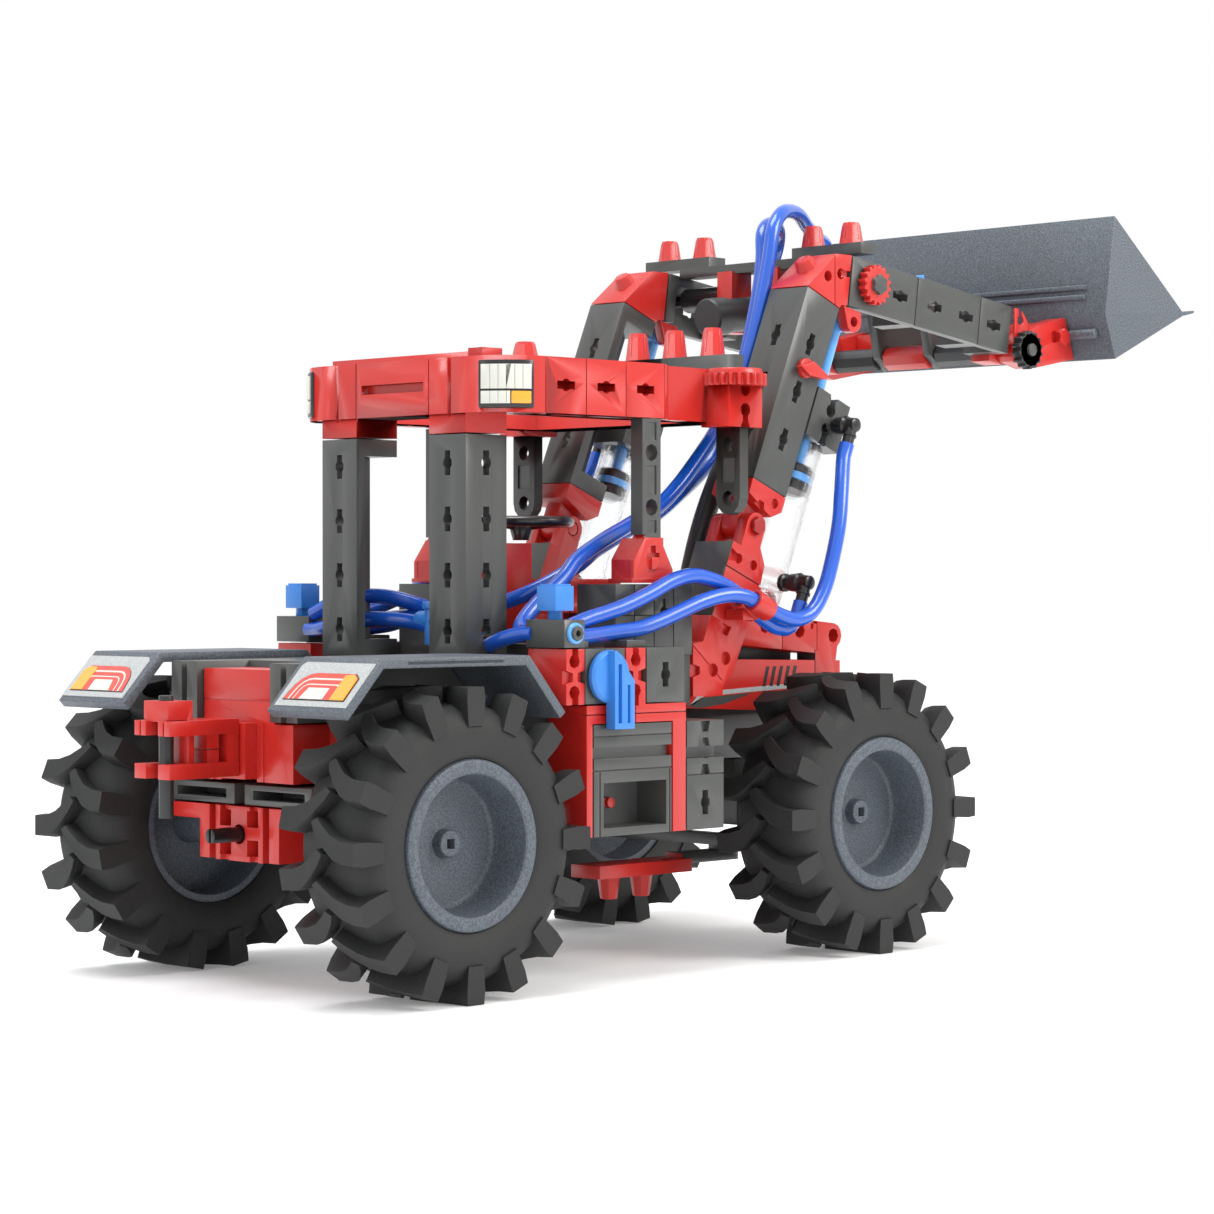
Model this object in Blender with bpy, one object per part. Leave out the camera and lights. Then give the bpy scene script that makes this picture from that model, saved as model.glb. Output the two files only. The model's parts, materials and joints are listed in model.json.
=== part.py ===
"""A construction-kit tractor with a pneumatic front loader, modelled piece by piece.

Sizes below are in millimetres, on the kit's 15 mm grid, and are turned into metres when a mesh is made.
+X runs forward to the bucket, +Y to the driver's left, +Z up.  While the pieces are laid out, X = 0 is
the rear face of the cab.  An empty then moves everything so that the origin is under the middle of the
tractor, on the ground.
"""

import math

import bmesh
import bpy
from mathutils import Matrix, Vector

MM = 0.001
GRID = 15.0  # one kit block
GAP = 0.15  # half of the gap left between two neighbouring pieces
ORIGIN_X = 103.55  # middle of the overall length, measured from the cab's rear face

# Wheels
AXLE_Z = 40.0
REAR_AXLE_X = -30.0
FRONT_AXLE_X = 127.5
TYRE_IN = 38.0
TYRE_OUT = 67.5
TYRE_STEPS = 32  # two steps to each of the 16 lugs
LUG_R = AXLE_Z / math.cos(math.pi / TYRE_STEPS)
GROOVE_R = 36.5
SIDEWALL_R = 31.0
BEAD_R = 22.2
RIM_R = 21.8
RIM_OUT = 66.6
RIM_STEPS = 16
AXLE_R = 2.0
BORE_R = 2.35

# Body levels
BELLY_Z = 38.8
CASE_TOP_Z = 68.6
ROW_Z = 73.8
ROW_TOP_Z = 88.7
FLOOR_Z = 85.4
INNER_Y = 30.0  # the cab and loader blocks stand outside this
MID_Y = 45.0
OUTER_Y = 60.0

# Cab
POST_TOP_Z = 145.6
ROOF_Z = 151.0
ROOF_TOP_Z = 166.0
WALL = 3.4  # wall of an angle girder
SLOT = (2.2, 6.6)  # width and length of the slots along a girder

# Loader, in the plane that it swings in
LEAN = math.radians(22.5)
BOOM_PIVOT = (97.2, 121.9)
LIFT_BASE = (106.5, 101.0)
LIFT_TOP = (139.5, 182.0)
BUCKET_PIVOT = (217.5, 177.5)
TILT_BASE = (145.5, 187.5)
TILT_ARM = 18.5
TILT_ARM_LEAN = math.radians(15.0)
CYLINDER_Y = 37.5
LOW_PORT = (2.0, 6.0)  # forward of the cylinder's axis, and along it
HIGH_PORT = (3.2, 55.6)
ELBOW_DROP = 6.0
PORT_REACH = 10.0
TILT_REAR = 21.7  # from the cylinder's rear end to its trunnion
TILT_PORTS = (8.6, 34.8)
ARM_LEAN = math.radians(8.0)
ARM_ROOT = (138.6, 201.3)
ARM_LENGTH = 75.0
CROSS_TIE = (146.1, 193.0)
BEAM_Z = 199.6
BARREL_R = 6.0
BARREL_BORE_R = 5.0
PISTON_R = 4.6
ROD_R = 1.9

# Air hoses
HOSE_R = 2.1
HOSE_STEP = 10.0  # distance between two points of a hose

RED = (0.72, 0.035, 0.025)
GREY = (0.075, 0.078, 0.075)
STONE = (0.13, 0.135, 0.14)
BLACK = (0.018, 0.018, 0.019)
RUBBER = (0.022, 0.022, 0.022)
RIM_GREY = (0.17, 0.18, 0.20)
BLUE = (0.02, 0.11, 0.62)
LEVER_BLUE = (0.09, 0.30, 0.80)
CLEAR = (0.85, 0.88, 0.90)


# ---------------------------------------------------------------- shapes, in millimetres


def block(x, y, z, gap=GAP):
    """A box between two limits on each axis, drawn in by the gap on every side."""
    shape = bmesh.new()
    bmesh.ops.create_cube(shape, size=1.0)
    for vert in shape.verts:
        for axis, (low, high) in enumerate((sorted(x), sorted(y), sorted(z))):
            vert.co[axis] = low + gap if vert.co[axis] < 0 else high - gap
    return shape


def prism(outline, low, high, across="y"):
    """An outline pushed from low to high along one axis.  Outlines are (x, z), (x, y) or (y, z) pairs."""
    places = {"y": lambda a, b, c: (a, c, b), "z": lambda a, b, c: (a, b, c), "x": lambda a, b, c: (c, a, b)}
    place = places[across]
    shape = bmesh.new()
    near = [shape.verts.new(place(a, b, low)) for a, b in outline]
    far = [shape.verts.new(place(a, b, high)) for a, b in outline]
    shape.faces.new(near)
    shape.faces.new(reversed(far))
    for i in range(len(outline)):
        j = (i + 1) % len(outline)
        shape.faces.new((near[j], near[i], far[i], far[j]))
    bmesh.ops.recalc_face_normals(shape, faces=shape.faces)
    return shape


def rod(start, end, radius, sides=12, end_radius=None):
    """A round bar, or a cone when the end has its own radius."""
    start, end = Vector(start), Vector(end)
    turn = (end - start).to_track_quat("Z", "Y").to_matrix().to_4x4()
    middle = Matrix.Translation((start + end) / 2) @ turn
    shape = bmesh.new()
    bmesh.ops.create_cone(
        shape, cap_ends=True, segments=sides, radius1=radius, matrix=middle,
        radius2=radius if end_radius is None else end_radius, depth=(end - start).length)
    return shape


def turned(profile, x, z, side, steps):
    """A profile of (distance from the middle plane, radius) pairs spun about an axle along Y."""
    shape = bmesh.new()
    rings = []
    for y, radius in profile:
        if radius == 0:
            rings.append([shape.verts.new((x, side * y, z))])
            continue
        angles = (2 * math.pi * i / steps for i in range(steps))
        rings.append([shape.verts.new((x + radius * math.cos(a), side * y, z + radius * math.sin(a)))
                      for a in angles])
    for first, second in zip(rings, rings[1:]):
        for i in range(steps):
            j = (i + 1) % steps
            corners = [first[i % len(first)], first[j % len(first)],
                       second[j % len(second)], second[i % len(second)]]
            shape.faces.new(list(dict.fromkeys(corners)))
    bmesh.ops.recalc_face_normals(shape, faces=shape.faces)
    return shape


def arc(centre, radius, start, end, steps):
    """Points on an arc, in degrees, for the round stretches of an outline."""
    angles = [math.radians(start + (end - start) * i / steps) for i in range(steps + 1)]
    return [(centre[0] + radius * math.cos(a), centre[1] + radius * math.sin(a)) for a in angles]


def leaning(base, lean, points):
    """Turns (forward, along) pairs, measured from a pivot on a leaning member, into (x, z) pairs."""
    return [(base[0] + n * math.cos(lean) + t * math.sin(lean),
             base[1] - n * math.sin(lean) + t * math.cos(lean)) for n, t in points]


def framed(base, lean, point):
    """The (forward, along) pair, in a leaning member's frame, of an (x, z) point."""
    x, z = point[0] - base[0], point[1] - base[1]
    return x * math.cos(lean) - z * math.sin(lean), x * math.sin(lean) + z * math.cos(lean)


def run_between(start, end):
    """How far a member between two (x, z) points leans forward, and its length."""
    x, z = end[0] - start[0], end[1] - start[1]
    return math.atan2(x, z), math.hypot(x, z)


def tilt_lever():
    """The (x, z) place where the tilt rod pushes the bucket's lever."""
    return (BUCKET_PIVOT[0] - TILT_ARM * math.sin(TILT_ARM_LEAN),
            BUCKET_PIVOT[1] + TILT_ARM * math.cos(TILT_ARM_LEAN))


def both_sides(low, high, side):
    """The Y limits of a piece that lies between two distances from the middle plane."""
    return sorted((side * low, side * high))


def smooth_route(points, step):
    """Points about a step apart on a smooth curve through a route's own points, with straight ends."""
    points = [Vector(p) for p in points]
    fine = []
    for a, b, c, d in zip(points, points[1:], points[2:], points[3:]):
        for i in range(20):
            t = i / 20
            fine.append(0.5 * (2 * b + (c - a) * t + (2 * a - 5 * b + 4 * c - d) * t * t
                               + (3 * b - a - 3 * c + d) * t * t * t))
    fine.append(points[-2])
    length = sum((b - a).length for a, b in zip(fine, fine[1:]))
    wanted = length / max(3, round(length / step))
    route, walked = [points[0], fine[0]], 0.0
    for a, b in zip(fine, fine[1:]):
        walked += (b - a).length
        if walked >= wanted * (len(route) - 1) and length - walked > wanted / 2:
            route.append(b)
    return route + points[-2:]


# ---------------------------------------------------------------- objects


def material(name, colour, roughness=0.4, alpha=1.0):
    made = bpy.data.materials.new(name)
    made.use_nodes = True
    shader = made.node_tree.nodes["Principled BSDF"]
    shader.inputs["Base Color"].default_value = (*colour, 1.0)
    shader.inputs["Roughness"].default_value = roughness
    shader.inputs["Alpha"].default_value = alpha
    return made


def mesh_of(name, shape, offset):
    bmesh.ops.translate(shape, verts=shape.verts, vec=-Vector(offset))
    bmesh.ops.scale(shape, verts=shape.verts, vec=(MM, MM, MM))
    mesh = bpy.data.meshes.new(name)
    shape.to_mesh(mesh)
    shape.free()
    return mesh


def add_object(name, data, pivot, lean=0.0):
    made = bpy.data.objects.new(name, data)
    bpy.context.scene.collection.objects.link(made)
    made.location = Vector(pivot) * MM
    made.rotation_euler = (0, lean, 0)
    made.parent = bpy.data.objects["layout_origin"]
    return made


def piece(name, finish, steps, cuts=(), pivot=(0, 0, 0), lean=None, smooth=False):
    """One separate part: its first shape, joined to its other shapes, with the cuts taken out.

    A leaning part's shapes are drawn in its own upright frame, whose origin is the pivot.
    A shape given as ("cut", shape) is taken out before the shapes after it are joined on.
    """
    offset = pivot if lean is None else (0, 0, 0)
    made = add_object(name, mesh_of(name, steps[0], offset), pivot, lean or 0.0)
    made.data.materials.append(finish)
    tools = [step if isinstance(step, tuple) else ("join", step) for step in steps[1:]]
    tools += [("cut", shape) for shape in cuts]
    for number, (kind, shape) in enumerate(tools):
        tool_name = f"{name}_{kind}_{number}"
        tool = add_object(tool_name, mesh_of(tool_name, shape, offset), pivot, lean or 0.0)
        tool.hide_render = True
        tool.display_type = "WIRE"
        step = made.modifiers.new(tool_name, "BOOLEAN")
        step.operation = "UNION" if kind == "join" else "DIFFERENCE"
        step.solver = "EXACT"
        step.object = tool
    if smooth:
        made.data.shade_smooth()
        made.data.set_sharp_from_angle(angle=math.radians(35))
    return made


def hose(name, finish, points, radius=HOSE_R, sides=2, step=HOSE_STEP):
    """A flexible hose: a tube along a smooth curve through its route."""
    curve = bpy.data.curves.new(name, "CURVE")
    curve.dimensions = "3D"
    curve.bevel_depth = radius * MM
    curve.bevel_resolution = sides
    curve.use_fill_caps = True
    route = smooth_route(points, step)
    spline = curve.splines.new("POLY")
    spline.points.add(len(route) - 1)
    for point, place in zip(spline.points, route):
        point.co = (*(place * MM), 1.0)
    curve.materials.append(finish)
    return add_object(name, curve, (0, 0, 0))


# ---------------------------------------------------------------- repeated details


def slots(centre, count, pitch, wall_axis, along, depth=12.0):
    """Cutters for a row of slots: centred on one face, through its wall."""
    made = []
    for i in range(count):
        place = Vector(centre) + Vector(along) * pitch * i
        reach = Vector(wall_axis) * depth / 2
        run = Vector(along) * SLOT[1] / 2
        side = Vector(wall_axis).cross(Vector(along)) * SLOT[0] / 2
        shape = bmesh.new()
        corners = [shape.verts.new(place + a * reach + b * run + c * side)
                   for a in (-1, 1) for b in (-1, 1) for c in (-1, 1)]
        bmesh.ops.convex_hull(shape, input=corners)
        made.append(shape)
    return made


def angle_girder(x, y, z, side):
    """An upright angle girder: a rear wall and an outer wall, with a closed block at each end."""
    rear = block((x[0], x[0] + WALL), y, z)
    outer_y = (y[1] - side * WALL, y[1])
    outer = block(x, outer_y, z)
    ends = [block(x, y, (z[0], z[0] + 5)), block(x, y, (z[1] - 5, z[1]))]
    middle_x = (x[0] + x[1]) / 2
    middle_y = (y[0] + y[1]) / 2
    cuts = slots((x[0], middle_y, z[0] + GRID / 2), 4, GRID, (1, 0, 0), (0, 0, 1), 2 * WALL + 2)
    cuts += slots((middle_x, y[1], z[0] + GRID / 2), 4, GRID, (0, 1, 0), (0, 0, 1), 2 * WALL + 2)
    return [rear, outer] + ends, cuts


# ---------------------------------------------------------------- sub-assemblies


def tyre(name, finish, x, side):
    """A tractor tyre with its lugs across the tread."""
    rings = [
        (TYRE_IN + 2, BEAD_R, BEAD_R),
        (TYRE_IN, SIDEWALL_R, SIDEWALL_R),
        (TYRE_IN + 4, GROOVE_R, LUG_R),
        (TYRE_OUT - 4, GROOVE_R, LUG_R),
        (TYRE_OUT, SIDEWALL_R, SIDEWALL_R),
        (TYRE_OUT - 2, BEAD_R, BEAD_R),
    ]
    shape = bmesh.new()
    loops = []
    for y, low, high in rings:
        loop = []
        for i in range(TYRE_STEPS):
            angle = 2 * math.pi * (i - 0.5) / TYRE_STEPS - math.pi / 2
            radius = low if i % 2 else high
            loop.append(shape.verts.new((radius * math.cos(angle), side * y, radius * math.sin(angle))))
        loops.append(loop)
    for first, second in zip(loops, loops[1:] + loops[:1]):
        for i in range(TYRE_STEPS):
            j = (i + 1) % TYRE_STEPS
            shape.faces.new((first[i], first[j], second[j], second[i]))
    bmesh.ops.triangulate(shape, faces=shape.faces)
    bmesh.ops.recalc_face_normals(shape, faces=shape.faces)
    bmesh.ops.translate(shape, verts=shape.verts, vec=(x, 0, AXLE_Z))
    piece(name, finish, [shape], pivot=(x, 0, AXLE_Z))


def rim(name, finish, x, side, stub):
    """A dished rim in one piece with its hub and its axle stub."""
    profile = [
        (stub, 0), (stub, AXLE_R), (39.0, AXLE_R), (39.0, 4.5), (50.5, 6.0), (50.5, 19.5), (40.5, 19.5),
        (40.5, RIM_R), (RIM_OUT, RIM_R), (RIM_OUT, 18.2), (54.5, 17.0), (54.5, 3.4), (57.8, 3.0), (57.8, 0),
    ]
    piece(name, finish, [turned(profile, x, AXLE_Z, side, RIM_STEPS)], pivot=(x, 0, AXLE_Z), smooth=True)


def wheels(rubber, plastic):
    for end, x in (("rear", REAR_AXLE_X), ("front", FRONT_AXLE_X)):
        for hand, side in (("left", 1), ("right", -1)):
            tyre(f"tyre_{end}_{hand}", rubber, x, side)
            rim(f"rim_{end}_{hand}", plastic, x, side, 24.0 if end == "rear" else 30.0)


def chassis(finish):
    """The dark central frame, with the blocks, cases and plates of its colour that are pushed onto it."""
    shapes = [
        block((-37.2, 83), (-INNER_Y, INNER_Y), (BELLY_Z, FLOOR_Z)),
        block((16.2, 68), (-MID_Y, MID_Y), (BELLY_Z, ROW_Z)),
        block((41, 70.5), (-MID_Y + 0.3, MID_Y - 0.3), (ROW_Z - 2, ROW_TOP_Z)),
        block((80, 137), (-14.5, 14.5), (54, 67)),
        block((96, 112), (-14.5, 14.5), (60, 80)),
        block((-37.2, -22), (-INNER_Y, INNER_Y), (32, BELLY_Z + 3)),
    ]
    cuts = [rod((REAR_AXLE_X, -INNER_Y - 2, AXLE_Z), (REAR_AXLE_X, INNER_Y + 2, AXLE_Z), BORE_R)]
    for side in (1, -1):
        high = both_sides(INNER_Y - 0.3, MID_Y, side)
        case = both_sides(MID_Y - 1, OUTER_Y, side)
        shapes += [
            block((41, 71), high, (ROW_TOP_Z - 3, 105.6)),
            block((18.2, 47.6), case, (BELLY_Z, CASE_TOP_Z)),
            block((53.3, 68), case, (BELLY_Z, CASE_TOP_Z)),
            block((37.9, 52.5), case, (ROW_Z, ROW_TOP_Z)),
            block((-52.4, -36), both_sides(2, 29.8, side), (48.1, 53.6)),
            block((-49.5, -36), both_sides(15.2, 26.6, side), (70.0, FLOOR_Z)),
            block((-54.5, -48), both_sides(15.2, 19.9, side), (70.0, FLOOR_Z)),
            block((-54.5, -48), both_sides(21.9, 26.6, side), (70.0, FLOOR_Z)),
        ]
        cuts += [
            block((21.8, 45.6), both_sides(48.5, 61, side), (BELLY_Z + 2.2, 53.2)),
            block((17, 49), both_sides(57.8, 61, side), (59.4, 62.6)),
            block((52, 69), both_sides(56, 61, side), (58.2, 61.6)),
            block((-54, -42), both_sides(5.5, 27, side), (49.5, 52.2)),
            *slots((60.6, side * OUTER_Y, 46.2), 1, GRID, (0, 1, 0), (0, 0, 1), 6),
            *slots((45.2, side * OUTER_Y, 81.3), 1, GRID, (0, 1, 0), (0, 0, 1), 6),
        ]
    piece("chassis_core", finish, shapes, cuts)


def side_frames(red, dark, blue):
    """The red frames that hold the side cases, and the valves on the row above them."""
    for hand, side in (("left", 1), ("right", -1)):
        y = both_sides(MID_Y + 0.1, OUTER_Y, side)
        shapes = [
            block((15.6, 53.2), y, (CASE_TOP_Z, ROW_Z - 0.1)),
            block((15.6, 18.0), y, (BELLY_Z, CASE_TOP_Z + 1)),
            block((47.9, 53.1), y, (BELLY_Z, CASE_TOP_Z + 1)),
            block((8.2, 15.1), y, (ROW_Z, ROW_TOP_Z)),
            block((30.1, 37.7), y, (ROW_Z - 0.6, ROW_TOP_Z)),
            block((14.0, 31), both_sides(MID_Y + 0.1, 47, side), (ROW_Z - 0.6, ROW_TOP_Z)),
        ]
        cuts = [rod((x, side * 55, z), (x, side * 62, z), 1.9, 8) for x in (11.3, 33.9) for z in (77.2, 85.4)]
        piece(f"side_frame_{hand}", red, shapes, cuts)
        body = block((7.5, 15.1), y, (ROW_TOP_Z + 0.1, 96.4))
        nipple = rod((11.3, side * 59, 92.7), (11.3, side * 61.4, 92.7), 2.0, 8)
        port = rod((11.3, side * 46, 92.7), (11.3, side * 41.6, 92.7), 1.6, 8)
        stem_hole = rod((11.3, side * 52.5, 93), (11.3, side * 52.5, 98), BORE_R, 8)
        piece(f"hand_valve_{hand}", dark, [body, nipple, port], [stem_hole])
        knob = block((7.9, 14.8), both_sides(48.8, 56.2, side), (98.4, 105.2))
        stem = rod((11.3, side * 52.5, 94), (11.3, side * 52.5, 99), 1.9, 8)
        piece(f"valve_knob_{hand}", blue, [knob, stem], pivot=(11.3, side * 52.5, 98))


def rotary_valve(dark, blue):
    """The selector valve on the right-hand row, with its lever hanging down."""
    pivot = (22.8, -OUTER_Y, 81.2)
    body = block((15.2, 30.0), (-59.9, -47.2), (ROW_Z + 0.1, ROW_TOP_Z))
    shaft_hole = rod((pivot[0], -54, pivot[2]), (pivot[0], -61, pivot[2]), 2.9, 8)
    piece("rotary_valve", dark, [body], [shaft_hole])
    disc = rod((pivot[0], -60.3, pivot[2]), (pivot[0], -62.2, pivot[2]), 7.0, 24)
    shaft = rod((pivot[0], -55, pivot[2]), (pivot[0], -61, pivot[2]), 2.4, 8)
    pointer = prism([(23.5, 86.6), (32.8, 79.4), (33.2, 67.6), (23.8, 67.6)], -67.0, -61.0)
    piece("rotary_lever", blue, [disc, shaft, pointer], pivot=pivot)


def fenders(finish):
    top = 87.3
    drop = 2.6
    outline = [(-67.3, 74.1), (-55.2, top), (-4.8, top), (8.1, 72.2), (6.0, 70.6), (-6.0, top - drop),
               (-54.0, top - drop), (-65.4, 72.2)]
    for hand, side in (("left", 1), ("right", -1)):
        low, high = both_sides(INNER_Y + 0.3, OUTER_Y, side)
        piece(f"fender_{hand}", finish, [prism(outline, low, high)])


def rear_end(red, dark, black):
    """The red blocks between the rear wheels, the towing hitch and the power take-off."""
    x = (-52.6, -37.4)
    shapes = [
        block((-40.5, x[1]), (-29.6, 29.6), (54.0, 69.6)),
        block((-40.5, x[1]), (-29.6, 29.6), (33.4, 47.8)),
        block((-41.7, x[1]), (-1.7, 1.7), (46, 56)),
        block(x, (-22.6, -7.4), (54.2, 69.6)),
        block(x, (7.4, 22.6), (54.2, 69.6)),
        block((-56.4, x[1]), (-7.6, 7.6), (55.0, 69.8)),
        block(x, (-14.9, 14.9), (69.0, 83.6)),
        block(x, (-10.1, 10.1), (33.2, 47.8)),
    ]
    cuts = [rod((-58, 0, 40.4), (-36, 0, 40.4), BORE_R + 0.3, 12)]
    for side in (1, -1):
        shapes.append(block(x, both_sides(12.4, 16.8, side), (33.4, 47.8)))
        shapes.append(block(x, both_sides(12.4, 29.8, side), (43.6, 47.8)))
        for low in (34.6, 42.2):
            cuts.append(block((-54, -44), both_sides(3.2, 8.2, side), (low, low + 4.6)))
    piece("rear_blocks", red, shapes, cuts)
    shaft = rod((-62.0, 0, 40.4), (-37.5, 0, 40.4), AXLE_R, 12)
    piece("pto_shaft", black, [shaft], pivot=(-50, 0, 40.4))

    pin_x = -75.8
    half_fork = [(-73.2, 2.6), (-80.3, 2.6), (-80.3, 7.4), (-68.5, 7.4), (-64.5, 5.6), (-56.7, 5.6)]
    fork = half_fork + [(x, -y) for x, y in reversed(half_fork)]
    shapes = [prism(fork, z, z + 3.8, "z") for z in (56.0, 67.0)]
    shapes.append(block((-66.5, -62.5), (-5, 5), (56.5, 70.5)))
    shapes.append(block((-72.6, -70.4), (-5, 5), (56.5, 70.5)))
    shapes.append(block((-60.5, -56.6), (-5.6, 5.6), (56.1, 70.7)))
    shapes.append(block((-79.2, -71), (-5.2, 5.2), (70.4, 76.0)))
    pin_hole = rod((pin_x, 0, 66), (pin_x, 0, 78), BORE_R, 8)
    piece("hitch_bracket", red, shapes, [pin_hole])
    piece("hitch_pin", dark, [rod((pin_x, 0, 45.8), (pin_x, 0, 77.2), AXLE_R, 8)], pivot=(pin_x, 0, 60),
          smooth=True)


def cab(red, dark, black):
    for hand, side in (("left", 1), ("right", -1)):
        shapes, cuts = angle_girder((0, GRID), (side * GRID, side * 2 * GRID), (FLOOR_Z, POST_TOP_Z), side)
        piece(f"rear_post_{hand}", dark, shapes, cuts)

        post = block((51.3, 58.7), both_sides(40.2, 45.0, side), (107.2, ROOF_Z - 0.1))
        holes = [rod((55, side * 39, z), (55, side * 46, z), 2.4, 8) for z in (126.5, 141.5)]
        foot = block((47.4, 62.6), both_sides(36.5, 44.6, side), (105.9, 118.2))
        piece(f"mid_post_{hand}", dark, [post, foot], holes)

    ring = arc((15, 30), 15, 180, 90, 4) + [(60, 45), (67, 39.5), (97, 37.5)]
    outline = ring + [(x, -y) for x, y in reversed(ring)]
    shapes = [prism(outline, ROOF_Z, ROOF_TOP_Z, "z")]
    cuts = [
        block((15, 82), (-30, 30), (ROOF_Z - 1, ROOF_TOP_Z + 1)),
        block((-1, 2.5), (-13, 13), (157.2, 160.0)),
    ]
    for side in (1, -1):
        shapes.append(block((0, 15), both_sides(15, 30, side), (POST_TOP_Z + 0.1, ROOF_Z + 0.5)))
        shapes.append(block((83, 97), both_sides(36.5, 47.4, side), (149.4, 165.4)))
        strut_y = side * 42.2
        strut = arc((strut_y, 129.6), 4.6, 180, 360, 6) + [(strut_y + 4.6, 150), (strut_y - 4.6, 150)]
        shapes.append(prism(strut, 88.2, 91.6, "x"))
        cuts.append(block((-1, 2.5), both_sides(22.5, 24.2, side), (ROOF_Z - 1, ROOF_TOP_Z + 1)))
        cuts += slots((22.5, side * 45, 158.6), 3, GRID, (0, 1, 0), (1, 0, 0), 8)
        cuts += [rod((86, strut_y, z), (94, strut_y, z), 2.2, 8) for z in (129.6, 144.6)]
    plate = arc((89.5, -42), 3.7, 180, 360, 6) + [(93.2, 0.5), (85.8, 0.5)]
    shapes.append(prism(plate, ROOF_TOP_Z - 1, 170.0, "z"))
    shapes += [rod((89.5, y, 169), (89.5, y, 177.6), 3.4, 8, 2.4) for y in (-5, -20, -35)]
    piece("roof_frame", red, shapes, cuts)

    console = [block((31, 45.5), (-7.4, 7.4), (ROW_TOP_Z + 0.1, 117.0)),
               block((44, 80.5), (-7.4, 7.4), (97, 107)),
               block((71, 80.5), (-7.4, 7.4), (FLOOR_Z + 0.1, 100))]
    piece("dash_console", red, console)

    ring = [rod((48, 0, 121.8), (48, 0, 124.2), 15.0, 20),
            ("cut", rod((48, 0, 120), (48, 0, 126), 12.6, 20)),
            block((34, 62), (-1.3, 1.3), (120.4, 122.6)),
            block((46.7, 49.3), (-14, 14), (120.4, 122.6)),
            rod((48, 0, 117.6), (48, 0, 122.6), 2.6, 8)]
    piece("steering_wheel", black, ring, pivot=(48, 0, 123), smooth=True)


def hood(red, dark):
    outline = [(84.2, 70.2), (118, 68.6), (150, 68.6), (150, 82.6), (106, 83.6), (92, 84.2)]
    shell = prism(outline, -29.7, 29.7)
    hollow = block((86.5, 137), (-27.5, 27.5), (66, 80.6))
    rails = arc((147, 90.0), 3.7, -60, 85, 5) + [(98, 98.4), (98, 88.6), (139, 85.0), (139, 82), (148, 82)]
    shapes = [shell] + [prism(rails, *both_sides(22.4, 29.7, side)) for side in (1, -1)]
    deck = [(98, 91.6), (98, 88.6), (143, 84.6), (143, 87.6)]
    shapes.append(prism(deck, -23, 23))
    holes = []
    for side in (1, -1):
        for x, z in ((117.2, 93.2), (132.2, 91.6), (147.0, 90.0)):
            holes.append(rod((x, side * 21, z), (x, side * 31, z), 2.2, 8))
    piece("hood", red, shapes, [hollow] + holes)
    route = [(90.5, -22, 86.5), (91.5, -22, 97), (94.5, -22, 110), (99.5, -22, 124), (106.2, -22, 137),
             (112.0, -22, 145)]
    hose("exhaust_pipe", dark, route, radius=3.1)


def steering(dark, red):
    """The front axle, its two steering knuckles and the tie rod that turns them together."""
    x = FRONT_AXLE_X
    kingpin_y = 32.0
    shapes = [block((x - 6.5, x + 6.5), (-26.4, 26.4), (34, 46)),
              block((x - 6.5, x + 6.5), (-14, 14), (45, 53.8))]
    cuts = []
    for side in (1, -1):
        shapes.append(block((x - 6.5, x + 6.5), both_sides(20, 26.4, side), (28, 52)))
        for z in (28.4, 48.2):
            shapes.append(block((x - 4.5, x + 4.5), both_sides(25, 36.5, side), (z, z + 3.6)))
        cuts.append(rod((x, side * kingpin_y, 26), (x, side * kingpin_y, 54), 2.1, 8))
    piece("front_axle", dark, shapes, cuts)
    for hand, side in (("left", 1), ("right", -1)):
        body = block((x - 5.3, x + 5.3), both_sides(28.6, 35.8, side), (32.4, 47.8))
        pin = rod((x, side * kingpin_y, 28.8), (x, side * kingpin_y, 51.2), 1.8, 8)
        arm_outline = [(x - 4, side * 29), (x - 4, side * 34), (x - 15, side * 33), (x - 15, side * 29)]
        arm = prism(arm_outline, 32.6, 35.6, "z")
        stub_hole = rod((x, side * 28, AXLE_Z), (x, side * 37, AXLE_Z), BORE_R, 8)
        piece(f"knuckle_{hand}", red, [body, pin, arm], [stub_hole], pivot=(x, side * kingpin_y, AXLE_Z))
    bar_x = x - 12.5
    shapes = [block((bar_x - 3, bar_x + 3), (-33.5, 33.5), (28.6, 32.2)),
              block((94, bar_x), (-18.5, -11.5), (24.4, 27.8)),
              block((bar_x - 3, bar_x + 3), (-18.5, -11.5), (24.4, 30)),
              block((58.5, 96), (-21, -9), (22.4, 26.4))]
    shapes += [rod((px, -15, 23), (px, -15, 16.2), 3.4, 8, 2.4) for px in (67.8, 80.8)]
    piece("tie_rod", dark, shapes, pivot=(bar_x, 0, 30))


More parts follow.
